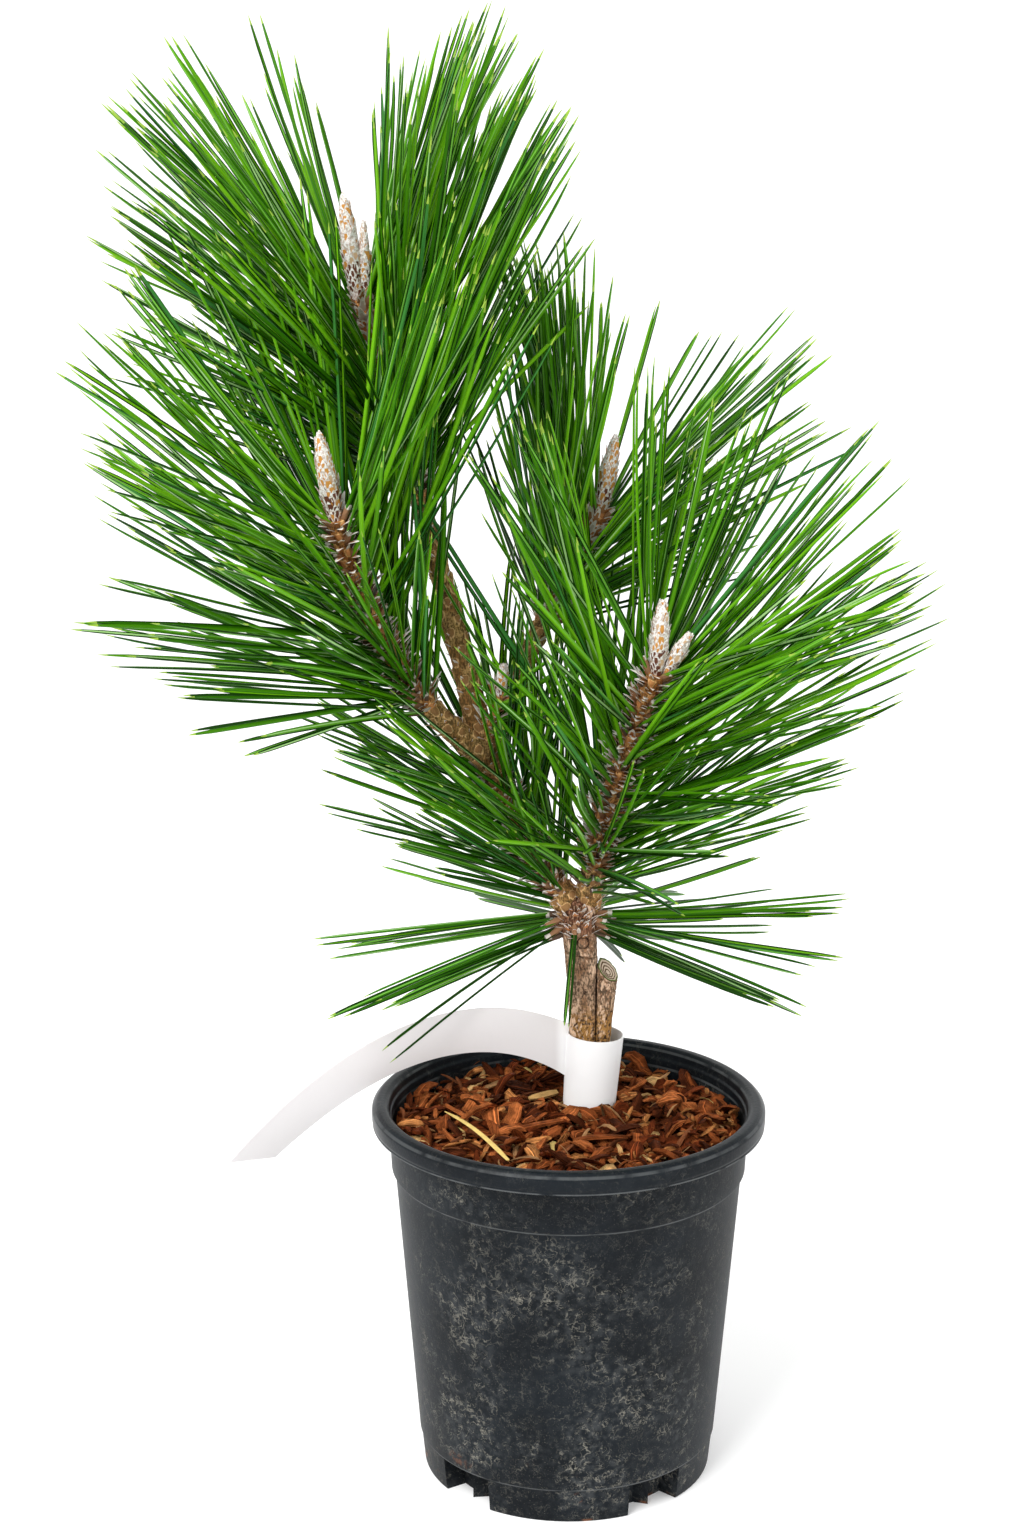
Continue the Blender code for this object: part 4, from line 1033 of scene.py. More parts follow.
def bark_skin(points, radii, depth, seed, sides, pegs=0):
    """Rings of a limb with bark relief, and the relief from 0 to 1 at each point.

    The relief is flakes parted by broken seams, from the distance between the two nearest
    of scattered centres, threads where a noise crosses zero, and layers of noise drawn out
    along the limb. Pegs are raised cushions a golden angle apart, steep above and running
    out below.
    """
    _, first, second = frames(points[None], BACK)
    section = round_section(sides)
    rings, poles = sweep(points[None], first, second, radii[None, :, None, None] * section)
    lengths = np.concatenate(([0.0], np.cumsum(np.linalg.norm(np.diff(points, axis=0), axis=1))))
    across = rings[0] - points[:, None]
    grain = np.concatenate((across[..., :2], np.broadcast_to(
        lengths[:, None, None], across.shape[:2] + (1,))), axis=-1) / MM
    bent = grain + 0.9 * np.stack([smooth_noise(grain / 3.0, seed + k) for k in range(3)], -1)
    near, nearest = cell_gaps(bent / np.array((2.4, 2.4, 6.0)), seed)
    broken = smooth_step(smooth_noise(grain / np.array((3.5, 3.5, 6.0)), seed + 5), -0.1, 0.5)
    seams = (1.0 - smooth_step(nearest - near, 0.0, 0.16)) * broken
    threads = 1.0 - smooth_step(np.abs(smooth_noise(
        bent / np.array((1.3, 1.3, 4.6)), seed + 13)), 0.0, 0.20)
    fibres = layered_noise(bent / np.array((0.8, 0.8, 2.2)), seed + 7, 3)
    lumps = smooth_noise(grain / np.array((5.0, 5.0, 9.0)), seed + 9)
    height = 0.56 - 0.42 * seams - 0.20 * threads + 0.17 * fibres + 0.26 * lumps
    if pegs:
        turn = np.arange(pegs) * GOLDEN_ANGLE + seed
        along = (np.arange(pegs) + 0.5) / pegs * lengths[-1]
        angles = np.linspace(0.0, math.tau, sides, endpoint=False)[:, None]
        aside = np.angle(np.exp(1j * (angles - turn))) * radii.mean() / (1.7 * MM)
        run = (lengths[:, None] - along) / MM
        run = np.where(run > 0.0, run / 0.8, run / 3.4)
        bumps = np.exp(-run[:, None] ** 2 - aside[None] ** 2)
        height = height * 0.6 + 1.25 * bumps.max(axis=-1)
    relief = np.clip(0.50 + 0.95 * (height - 0.45), 0.0, 1.0)
    radial = across / np.linalg.norm(across, axis=-1, keepdims=True)
    rings = rings + (height - 0.45)[None, ..., None] * depth * radial[None]
    return rings, poles, relief[None]


def shaded_crevice(rings, relief, route, radii, normals):
    """Rings pressed in where they come close to another limb's own surface, and dark there by painted
    shade.
    """
    away = np.linalg.norm(rings[0][:, :, None] - route[None, None], axis=-1)
    gap = away.min(axis=-1) - radii[away.argmin(axis=-1)]
    close = 1.0 - smooth_step(gap, -0.4 * MM, 0.9 * MM)
    rings = rings - (0.5 * MM * close)[None, ..., None] * normals
    # Lowering the relief there paints shade into the crevice
    return rings, relief * (1.0 - close)[None]


def trunk_skin(settings):
    """Skin of the trunk, with a round scar and the ring of an old whorl pressed into it."""
    shares = np.linspace(0.0, 1.03, 260)
    points, radii = limb_route("trunk", shares)
    radii = radii * np.interp(shares, (0.0, 0.97, 1.03), (1.0, 1.0, 0.62))
    rings, poles, relief = bark_skin(points, radii, settings.relief, 21, 140)
    front = rings[0, ..., 1] < points[:, None, 1]
    away = np.linalg.norm((rings[0] - SCAR)[..., [0, 2]], axis=-1)
    scar = np.exp(-((away - SCAR_RADIUS) / (0.45 * MM)) ** 2) * front
    bend = WHORL_RING - 1.2 * MM * np.sin((rings[0, ..., 0] - points[:, None, 0]) / (4.0 * MM))
    ring = np.exp(-((rings[0, ..., 2] - bend) / (0.40 * MM)) ** 2) * front
    pressed = np.maximum(scar, 0.85 * ring)
    rings[0, ..., 1] += 0.45 * MM * pressed
    stub = STUB_FOOT + np.linspace(0.0, 1.0, 30)[:, None] * (STUB_TOP - STUB_FOOT)
    rings, relief = shaded_crevice(rings, relief * (1.0 - pressed), stub, np.full(30, STUB_RADIUS),
                            unit(rings - points[None, :, None]))
    return rings, poles, relief, points[::6], radii[::6]


def stub_skin(settings, trunk_route, trunk_radii):
    """Skin of the sawn-off first leader, its top ring brought down onto the plane of the cut."""
    shares = np.linspace(0.0, 1.0, 150)
    points = STUB_FOOT + shares[:, None] * (STUB_TOP - STUB_FOOT)
    radii = STUB_RADIUS * np.interp(shares, (0.0, 0.8, 1.0), (0.9, 1.0, 1.08))
    rings, poles, relief = bark_skin(points, radii, settings.relief, 33, STUB_SIDES)
    rings, relief = shaded_crevice(rings, relief, trunk_route, trunk_radii,
                            unit(rings - points[None, :, None]))
    lean = (rings[0, -1] - points[-1]) @ np.array((STUB_CUT_SLOPE, STUB_CUT_TURN, 0.0))
    drop = np.clip((shares - 0.8) / 0.2, 0.0, 1.0)[:, None] * (lean + 1.5 * MM)
    rings = rings - drop[None, ..., None] * unit(STUB_TOP - STUB_FOOT)
    poles[0, 1] = rings[0, -1].mean(axis=0)
    relief[0, -1] = 0.1
    return rings, poles, relief


def stub_cut(rim):
    """Skin of the cut face, with rings about an off-centre heart, and a finish for each ring.

    Ring k is the rim drawn in towards the heart, with every second one raised a little.
    """
    centre = rim.mean(axis=0)
    normal = unit(np.cross(rim[STUB_SIDES // 4] - centre, rim[0] - centre))
    normal = normal * np.sign(normal[2])
    heart = centre - 0.35 * (rim[0] - centre)
    drawn_in = np.linspace(0.95, 0.08, CUT_RINGS)[:, None, None]
    middle = centre + np.linspace(0.0, 1.0, CUT_RINGS)[:, None, None] * (heart - centre)
    ripple = 0.15 * MM * (np.arange(CUT_RINGS) % 2)[:, None, None]
    disc = middle + drawn_in * (rim - centre) + (ripple + 0.12 * MM) * normal
    foot = centre + 0.95 * (rim - centre) - 0.6 * MM * normal
    rings = np.concatenate((foot[None], disc))[None]
    poles = np.array([[centre - 0.6 * MM * normal, heart + 0.2 * MM * normal]])
    band = np.arange(CUT_RINGS)
    return rings, poles, np.where(band < 2, 2, band % 2)[None, :, None]


def make_trunk(settings):
    """Trunk with its flare, fork swelling and sawn-off first leader, all in flaky bark.

    The cut of the old leader is a slanted plane, higher at its back left.
    """
    bark = bark_finish("trunk_bark", settings.flakes, (0.030, 0.016, 0.010),
                       warm=(0.360, 0.180, 0.045), young=(0.260, 0.115, 0.065))
    trunk = Batch()
    rings, poles, relief, route, radii = trunk_skin(settings)
    trunk.add(rings, poles, 0, relief)
    rings, poles, relief = stub_skin(settings, route, radii)
    trunk.add(rings, poles, 0, relief)
    place(trunk.piece("trunk_bark", [bark], math.radians(50.0)), "bark", "trunk")
    cut_finishes = plain_finishes(("cut_wood_pale", (0.560, 0.450, 0.350), 0.85),
                                  ("cut_wood_brown", (0.110, 0.065, 0.038), 0.85),
                                  ("cut_wood_green", (0.120, 0.150, 0.050), 0.85))
    place(one_piece("stub_cut", cut_finishes, stub_cut(rings[0, -1])), "bark", "trunk")


def bud_places(name):
    """Foot, direction, length and radius of each bud on a shoot, the end bud first."""
    points, _ = limb_route(name, (0.94, 0.97, 1.0))
    direction = unit((1.0 - BUD_TURN_UP) * unit(points[2] - points[1]) + BUD_TURN_UP * UP)
    side = unit(np.cross(BACK, direction))
    places = []
    for offset, angle, length, radius in BUDS[name]:
        tilt = math.radians(angle)
        heading = math.cos(tilt) * direction + math.sin(tilt) * side
        foot = points[2] - BUD_ROOT_DEPTH * direction + BUD_OFFSET_SHARE * offset * side
        places.append((foot, heading, length + BUD_ROOT_DEPTH, radius))
    return places


BLADE_SHARES = np.array((0.0, 0.18, 0.42, 0.70, 0.92))
BLADE_FULLNESS = np.array((0.55, 0.95, 1.0, 0.72, 0.28))
BLADE_OUTLINE = np.array(
    ((0.0, -1.0), (1.0, -0.5), (1.0, 0.5), (0.0, 1.0), (-1.0, 0.5), (-1.0, -0.5)))
BLADE_FACES = (len(BLADE_SHARES) - 1, len(BLADE_OUTLINE))
BLADE_MARGINS = [0, 2, 3, 5]
FRINGE = 3


def blades(roots, headings, outward, length, width, thick, curl, picks):
    """Small closed blades such as scales: rings of six points, widest low down, curling out.

    Point s of a blade is root + s length heading + s^2 curl length outward. The first and
    fourth points of each ring are its margins.
    """
    s = BLADE_SHARES[None, :, None]
    length = length[:, None, None]
    curl = curl[:, None, None]
    paths = (roots[:, None] + s * length * headings[:, None]
             + s * s * curl * length * outward[:, None])
    directions, first, second = frames(paths, outward)
    section = np.empty((len(roots), len(BLADE_SHARES), len(BLADE_OUTLINE), 2))
    section[..., 0] = BLADE_OUTLINE[:, 0] * thick
    section[..., 1] = BLADE_OUTLINE[:, 1] * BLADE_FULLNESS[None, :, None] * width[:, None, None]
    rings, poles = sweep(paths, first, second, section)
    poles[:, 1] = paths[:, -1] + 0.08 * length[:, 0] * directions[:, -1]
    return rings, poles, picks


def make_bough(name, end, pegs, finish):
    """The bare stretch of a bough, swollen where it leaves the limb that carries it."""
    shares = np.linspace(0.0, end, 220)
    points, radii = limb_route(name, shares)
    direction = unit(points[1] - points[0])
    points = points - BOUGH_OVERLAP * np.exp(-shares / 0.03)[:, None] * direction
    radii = radii * (1.0 + 0.30 * np.exp(-shares / 0.06))
    rings, poles, relief = bark_skin(points, radii, BOUGH_RELIEF, 40 + len(name), 72, pegs)
    node = "bough_" + name
    skins = (rings, poles, 0, relief)
    place(one_piece(node + "_bark", [finish], skins), "bark", node)


def scale_finishes():
    """Plain finishes of papery scales: brown, red-brown, grey and their pale fringe."""
    return plain_finishes(("scale_brown", (0.400, 0.200, 0.090), 0.8),
                          ("scale_red", (0.500, 0.210, 0.080), 0.7),
                          ("scale_grey", (0.540, 0.480, 0.420), 0.85),
                          ("scale_fringe", (0.740, 0.700, 0.650), 0.85))


def along_route(values, share):
    """Vectors at shares of a route, from one vector at each of its evenly spaced points."""
    at = np.linspace(0.0, 1.0, len(values))
    return np.stack([np.interp(share, at, values[:, i]) for i in range(3)], -1)


def round_stem(points, radii, share, turn, depth):
    """Roots, stem directions and ways out, at shares up a stem and turns round it.

    Each root lies a depth below the stem's surface.
    """
    directions, first, second = (values[0] for values in frames(points[None], BACK))
    outward = unit(np.cos(turn)[:, None] * along_route(first, share)
                   + np.sin(turn)[:, None] * along_route(second, share))
    radius = np.interp(share, np.linspace(0.0, 1.0, len(radii)), radii)
    roots = along_route(points, share) + outward * (radius - depth)[:, None]
    return roots, along_route(directions, share), outward


def leaned(angles, axis, outward):
    """Unit vectors turned from an axis towards the way out, by an angle for each."""
    return unit(np.cos(angles)[:, None] * axis + np.sin(angles)[:, None] * outward)


def stem_scales(points, radii, count, rng, length, lean):
    """Papery scales a golden angle apart up a stem, leaning out and curling at their tips."""
    share = (np.arange(count) + rng.uniform(0.2, 0.8, count)) / count
    turn = np.arange(count) * GOLDEN_ANGLE + rng.uniform(-0.4, 0.4, count)
    roots, directions, outward = round_stem(points, radii, share, turn, SCALE_DEPTH)
    headings = leaned(lean + rng.normal(0.0, 0.18, count), directions, outward)
    size = length * rng.uniform(0.6, 1.25, count)
    base = rng.choice(3, count, p=(0.42, 0.30, 0.28))
    picks = np.broadcast_to(base[:, None, None], (count, *BLADE_FACES)).copy()
    picks[:, -1] = FRINGE
    picks[:, -2, BLADE_MARGINS] = FRINGE
    return blades(roots, headings, outward, size, 0.20 * size, 0.09 * MM,
                  rng.uniform(0.1, 0.6, count), picks)


# Needles


def picture_place(points):
    """Where points fall in the front view: across, up, and depth, by the view's own pinhole."""
    away = points - CAMERA_PLACE
    ahead = np.array((0.0, math.cos(CAMERA_PITCH), -math.sin(CAMERA_PITCH)))
    above = np.array((0.0, math.sin(CAMERA_PITCH), math.cos(CAMERA_PITCH)))
    depth = away @ ahead
    return np.stack((away[..., 0] / depth, away @ above / depth), -1), depth


def hides(samples, foot, tip, width, reach):
    """True for needles that cross a line less than the reach behind it, seen from the front."""
    flat, depth = picture_place(samples)
    (low, high), (near_low, near_high) = picture_place(np.array((foot, tip)))
    run = high - low
    share = np.clip(((flat - low) @ run) / (run @ run), 0.0, 1.0)
    aside = np.linalg.norm(flat - low - share[..., None] * run, axis=-1)
    limit = near_low + share * (near_high - near_low)
    return np.any((aside * depth < width) & (depth < limit + reach), axis=1)


def grow(mass, rng, density):
    """Roots, headings, axes, lengths and shares of the pairs of one mass.

    Pair k stands at share (k + 1/2) / count along the stem and k golden angles round it. Its
    angle from the stem closes from the first spread to the second on the way up, where the
    whole tuft also turns towards upright. The lowest and highest pairs are shorter.
    """
    count = max(6, round(mass.pairs * density))
    points, radii = limb_route(mass.limb, np.linspace(mass.start, mass.end, 24))
    share = (np.arange(count) + 0.5) / count
    turn = np.arange(count) * GOLDEN_ANGLE
    roots, axis, outward = round_stem(points, radii, share, turn, NEEDLE_DEPTH)
    axis = unit(axis + mass.turn_up * share[:, None] * (UP - axis))
    wide, narrow = (math.radians(angle) for angle in mass.spread)
    angle = wide + (narrow - wide) * share + rng.uniform(-1.0, 1.0, count) * ANGLE_SPREAD
    grown = np.interp(share, (0.0, 0.33, 0.66, 1.0), (LOW_LENGTH, 1.0, 1.0, TOP_LENGTH))
    lengths = mass.length * grown * (1.0 + rng.uniform(-1.0, 1.0, count) * LENGTH_SPREAD)
    return roots, leaned(angle, axis, outward), axis, lengths, share


def limb_fences():
    """Routes and radii of all limbs, stub, collar and strap, which no needle may touch."""
    shares = np.linspace(0.0, 1.0, FENCE_SAMPLES)
    fences = {name: limb_route(name, shares) for name in LIMBS}
    for name, route, radius in (
            ("stub", STUB_FOOT + shares[:, None] * (STUB_TOP - STUB_FOOT), STUB_FENCE),
            ("collar", COLLAR_FOOT + shares[:, None] * (COLLAR_TOP - COLLAR_FOOT), COLLAR_FENCE),
            ("tail", tail_route(shares), TAIL_FENCE)):
        fences[name] = (route, np.full(FENCE_SAMPLES, radius))
    return fences


def view_lines():
    """Lines that needles keep out of in the front view.

    Each has both ends, its half width, the share of needles left out there, and how far
    behind it they still count. Buds and stems are kept in sight from in front only; the
    gaps where the photo shows sky are kept open at every depth.
    """
    views = []
    for name in BUDS:
        for foot, heading, length, radius in bud_places(name):
            tip = foot + length * heading
            views.append((foot, tip, radius + BUD_MARGIN, BARE_BUDS[name], IN_FRONT))
    for name, start, end, width, part in OPEN_WOOD:
        (low, high), _ = limb_route(name, (start, end))
        views.append((low, high, width, part, IN_FRONT))
    views.append(OPEN_MIX)
    views += [(*gap, ANY_DEPTH) for gap in SKY_GAPS]
    return views


def needle_paths(roots, headings, axes, lengths, lift, bend, shares):
    """Points of needles: root + s length heading + s^2 (lift length axis + bend)."""
    s = shares[None, :, None]
    lengths = lengths[:, None, None]
    return roots[:, None] + s * lengths * headings[:, None] + s * s * (
        lift * lengths * axes[:, None] + bend[:, None])


def keep_clear(paths, carrier, fences):
    """True for needles that stay above the rim and touch no limb, nor their own past the root."""
    clear = paths[:, :, 2].min(axis=1) > POT_HEIGHT + RIM_CLEARANCE
    for name, (route, radii) in fences.items():
        checked = paths[:, OWN_LIMB_FROM:] if name == carrier else paths
        away = np.linalg.norm(checked[:, :, None] - route[None, None], axis=-1)
        room = radii[away.argmin(axis=2)] + LIMB_CLEARANCE
        clear &= np.all(away.min(axis=2) > room, axis=1)
    return clear


# A needle: where its rings are, how full each is, and its section, round on one side and flat
# on the other. Quads of a ring are named by their place, finishes by their place in the list.
STATIONS = np.array((0.0, 0.05, 0.18, 0.36, 0.55, 0.74, 0.90, 0.965, 0.985))
FULLNESS = np.array((0.80, 0.96, 1.0, 1.0, 1.0, 0.97, 0.86, 0.52, 0.28))
ROUND_SIDE = np.radians((-90.0, -52.0, -17.0, 17.0, 52.0, 90.0))
HALF_ROUND = np.concatenate((
    np.stack((1.02 * np.cos(ROUND_SIDE), np.sin(ROUND_SIDE)), -1), ((-0.16, 0.42), (-0.16, -0.42))))
# Margins and edges take painted shade, and the ridge of some needles a painted highlight
MARGINS, EDGES, RIDGE, FLAT = [0, 4], [5, 7], 2, 6
DEEP, BLUE, BAND, TIP, SHEEN = 0, 5, 6, 7, 8
# Steps of painted light at which a needle turns from one green to the next lighter one
PAINTED_LIGHT_STEPS = (0.06, 0.26, 0.50, 0.72)


def needle_finishes(settings):
    """Plain greens from deep to lime as lit and shaded copies of one green, a blue green, a pale
    band and a sheen for painted highlights on ridges and pale stomatal lines on flat sides, and the tip.
    """
    green = np.array(settings.green)
    shades = {
        "needle_deep": green * (0.15, 0.24, 0.15), "needle_dark": green * (0.52, 0.66, 0.40),
        "needle_mid": green, "needle_bright": green * (1.75, 1.45, 1.60),
        "needle_lime": green * (3.20, 2.20, 4.00), "needle_blue": green * (0.85, 1.0, 18.0),
        "needle_band": green * (3.20, 2.20, 26.0), "needle_tip": np.array(settings.tip),
        "needle_sheen": np.array(settings.sheen)}
    return [Finish(name, tuple(min(1.0, float(c)) for c in colour), 0.34, 0.07).material
            for name, colour in shades.items()]


def grown_pairs(name, density, fences, views):
    """The pairs of one mass that are kept: where they start, how they run, and their tints,
    which are painted light, lighter for pairs that point up and to the front and stand high.
    """
    mass = MASSES[name]
    rng = np.random.default_rng(SEED + 100 + len(name) * 7 + ord(name[0]))
    roots, headings, axes, lengths, share = grow(mass, rng, density)
    count = len(roots)
    apart = unit(np.cross(headings, rng.normal(0.0, 1.0, (count, 3))))
    bend = rng.normal(0.0, 0.030, (count, 3)) * lengths[:, None]
    bend[:, 2] -= rng.uniform(0.0, 0.03, count) * lengths * (1.0 - share)
    middle = needle_paths(roots, headings, axes, lengths, mass.lift, bend, np.linspace(0.0, 1.0, 24))
    kept = keep_clear(middle, mass.limb, fences)
    low, high = (np.array(corner) for corner in CAD_BOX)
    tips = middle[:, -1]
    kept &= np.all((tips > low + BOX_CLEARANCE) & (tips < high - BOX_CLEARANCE), axis=1)
    for foot, tip, width, part, reach in views:
        hiding = hides(middle[:, 3:], foot, tip, width, reach)
        kept &= ~(hiding & (rng.uniform(0.0, 1.0, count) < part))
    # Painted light: pairs that point up and to the front and stand higher on their mass take lighter
    # greens
    painted_light = (0.20 + 0.32 * share + 0.25 * headings[:, 2] - 0.10 * headings[:, 1]
            + rng.normal(0.0, 0.16, count))
    cool = rng.uniform(0.0, 1.0, count) < 0.16 * (1.0 - share)
    tint = np.where(cool, BLUE, np.digitize(painted_light, PAINTED_LIGHT_STEPS))
    grown = [values[kept] for values in (roots, headings, axes, lengths, apart, bend, tint)]
    if name in LOOSE:
        grown = [np.concatenate(pair) for pair in zip(grown, loose_pairs(name))]
    return grown, rng


def loose_pairs(name):
    """The pairs of one mass that stand apart, in the same form as the grown ones."""
    starts, tips = (np.array(ends) for ends in zip(*LOOSE[name]))
    headings = unit(tips - starts)
    lengths = np.linalg.norm(tips - starts, axis=-1)
    apart = unit(np.cross(headings, UP))
    axes, bend = np.zeros_like(headings), np.zeros_like(starts)
    return starts, headings, axes, lengths, apart, bend, np.ones(len(starts), dtype=int)


def needle_picks(tint, rng):
    """The finish of each face of one needle of every pair.

    The round side is of one green with painted shade on its margins, and on some a painted
    highlight along its ridge. The flat side has painted shade at its edges, and on some a pale
    middle of stomatal lines. The point has a colour of its own.
    """
    count = len(tint)
    own = np.clip(tint + rng.integers(-1, 2, count), DEEP, BLUE)
    picks = np.broadcast_to(own[:, None, None], (count, len(STATIONS) - 1, len(HALF_ROUND))).copy()
    # Painted shade: the round side's margins one green deeper, the flat side's edges deepest
    margin_shade = np.where(own < BLUE, np.maximum(own - 1, DEEP), DEEP)
    picks[:, :, MARGINS] = margin_shade[:, None, None]
    picks[:, :, EDGES] = DEEP
    chance = rng.uniform(0.0, 1.0, count)
    # Painted highlight along the ridge of some needles
    picks[chance < 0.45, :, RIDGE] = BAND
    picks[chance < 0.16, :, RIDGE] = SHEEN
    # Pale stomatal lines down the middle of the flat side of some needles
    picks[(chance > 0.3) & (chance < 0.8), :, FLAT] = BAND
    picks[(chance > 0.66) & (chance < 0.84), :, FLAT] = SHEEN
    picks[:, -1] = TIP
    return picks


def make_needles(name, settings, finishes, fences, views):
    """The paired needles of one mass."""
    grown, rng = grown_pairs(name, settings.density, fences, views)
    roots, headings, axes, lengths, apart, common, tint = grown
    lift = MASSES[name].lift
    count = len(roots)
    gap = rng.uniform(0.012, 0.040, count)[:, None]
    batch = Batch()
    for sign in (-1.0, 1.0):
        own = sign * gap * apart
        tilt = unit(headings + own)
        bend = common - 0.5 * own * lengths[:, None] * rng.uniform(0.2, 1.0, (count, 1))
        size = lengths * rng.uniform(0.95, 1.02, count)
        start = roots + 0.30 * MM * sign * apart
        paths = needle_paths(start, tilt, axes, size, lift, bend, STATIONS)
        ends = needle_paths(start, tilt, axes, size, lift, bend, np.ones(1))
        _, first, second = frames(paths, sign * apart)
        twist = rng.normal(0.0, 0.55, count)[:, None] * STATIONS
        cos, sin = np.cos(twist)[..., None], np.sin(twist)[..., None]
        width = settings.radius * rng.uniform(0.88, 1.08, count)[:, None, None]
        u = HALF_ROUND[:, 0] * FULLNESS[None, :, None] * width
        v = HALF_ROUND[:, 1] * FULLNESS[None, :, None] * width
        section = np.stack((cos * u - sin * v, sin * u + cos * v), -1)
        rings, poles = sweep(paths, first, second, section)
        poles[:, 1] = ends[:, 0]
        batch.add(rings, poles, needle_picks(tint, rng))
    piece = batch.piece(name + "_needles", finishes, math.radians(62.0))
    place(piece, "needles", "needles_" + name)
    return roots, headings


def sheath_finishes():
    """Plain finishes of the sheaths: dark, brown, and the pale fringe at the mouth."""
    return plain_finishes(("sheath_dark", (0.110, 0.070, 0.048), 0.85),
                          ("sheath_brown", (0.280, 0.150, 0.080), 0.85),
                          ("sheath_grey", (0.560, 0.520, 0.470), 0.85))


def make_sheaths(name, roots, headings, finishes, rng):
    """Short ragged tubes that hold each pair together at its foot."""
    count = len(roots)
    shares = np.array((0.0, 0.35, 0.75, 1.0))
    length = rng.uniform(5.5, 9.5, count) * MM * (SHORT_SHEATH if name == "short" else 1.0)
    paths = roots[:, None] + shares[None, :, None] * length[:, None, None] * headings[:, None]
    _, first, second = frames(paths, rng.normal(0.0, 1.0, (count, 3)))
    radii = np.array((1.15, 1.30, 1.22, 1.16)) * MM * rng.uniform(0.9, 1.1, (count, 4))
    ragged = rng.uniform(0.92, 1.12, (count, 4, SHEATH_SIDES))
    section = round_section(SHEATH_SIDES) * (radii[..., None] * ragged)[..., None]
    rings, poles = sweep(paths, first, second, section)
    body = rng.choice(2, count)[:, None, None]
    picks = np.broadcast_to(body, (count, 3, SHEATH_SIDES)).copy()
    frayed = rng.uniform(0, 1, (count, SHEATH_SIDES)) < 0.7
    picks[:, 2] = np.where(frayed, 2, picks[:, 2])
    place(one_piece(name + "_sheaths", finishes, (rings, poles, picks)), "needles", "needles_" + name)


def bud_core(foot, heading, length, radius):
    """Skin of a spindle under the scales, and its two ways across."""
    paths = (foot + BUD_SHARES[:, None] * length * heading)[None]
    _, first, second = frames(paths, BACK)
    section = round_section(10) * (0.84 * radius * BUD_FULLNESS)[None, :, None, None]
    rings, poles = sweep(paths, first, second, section)
    poles[0, 1] = foot + length * heading
    return rings, poles, first[0, 0], second[0, 0]


def bud_picks(share, patch, rng):
    """The finish of each face of a bud's scales, in the order of bud_finishes."""
    count = len(share)
    patch = patch + rng.normal(0.0, 0.22, count)
    body = np.where(patch > 0.05, OCHRE, np.where(patch > -0.15, TAN, FRINGE))
    body = np.where((share > 0.80) & (rng.uniform(0, 1, count) < 0.45), OCHRE, body)
    dark = share < 0.30 + 0.12 * rng.normal(0.0, 1.0, count)
    body = np.where(dark & (rng.uniform(0, 1, count) < 0.75), RED, body)
    picks = np.broadcast_to(body[:, None, None], (count, *BLADE_FACES)).copy()
    margin = rng.uniform(0, 1, count) < 0.6
    picks[:, :, 0] = FRINGE
    picks[margin, 1:, 2] = FRINGE
    picks[margin, 1:, 5] = FRINGE
    picks[:, -1] = FRINGE
    return picks


def bud_scales(name, core, foot, heading, length, radius, rng):
    """Scales a golden angle apart over a bud, bending in with its outline towards the point."""
    _, _, first, second = core
    count = int(4.6 * length / MM)
    share = (np.arange(count) + 0.3) / count * 0.94
    turn = np.arange(count) * GOLDEN_ANGLE
    outward = np.cos(turn)[:, None] * first + np.sin(turn)[:, None] * second
    girth = radius * np.interp(share, BUD_SHARES, BUD_FULLNESS)
    roots = foot + (share * length)[:, None] * heading + outward * (0.80 * girth)[:, None]
    size = np.interp(share, (0.0, 0.5, 1.0), (4.2, 5.6, 4.4)) * MM * rng.uniform(0.75, 1.2, count)
    size = np.minimum(size, 1.06 * length * (1.03 - share) + 1.2 * MM)
    lean = np.interp(share, (0.0, 0.5, 1.0), (0.24, 0.13, 0.0)) + rng.normal(0.0, 0.08, count)
    inward = np.interp(share, (0.0, 0.3, 0.6, 1.0), (-0.05, 0.03, 0.14, 0.22))[:, None]
    headings = unit(leaned(lean, heading, outward) - 0.9 * outward * inward)
    where = outward * 1.3 + (share * length / (9.0 * MM))[:, None] * heading
    picks = bud_picks(share, smooth_noise(where, 7 + len(name)), rng)
    return blades(roots, headings, outward, size, 0.27 * size, 0.10 * MM,
                  rng.uniform(0.0, 0.16, count), picks)


def make_buds(name, finishes, rng):
    """Pointed buds: a spindle under overlapping scales with white fringed margins.

    The scales are dark red at the foot. Above it they are white, but for patches of ochre
    and tan where a smooth noise over turn and height is high.
    """
    batch = Batch()
    for bud in bud_places(name):
        core = bud_core(*bud)
        batch.add(*core[:2])
        batch.add(*bud_scales(name, core, *bud, rng))
    place(batch.piece(name + "_buds", finishes), "needles", "needles_" + name)


def bud_finishes():
    """Finishes of the buds: ochre, tan, dark red foot and the cottony white fringe."""
    fringe = Finish("bud_fringe", (0.830, 0.800, 0.770), 0.85)
    fringe.feed("Base Color", fringe.mix(
        fringe.noise(1100.0, 3.0).step(0.36, 0.60), (0.520, 0.420, 0.360), (0.880, 0.860, 0.840)))
    return plain_finishes(("bud_ochre", (0.620, 0.290, 0.070), 0.7),
                          ("bud_tan", (0.620, 0.420, 0.260), 0.7),
                          ("bud_red", (0.150, 0.055, 0.035), 0.7)) + [fringe.material]


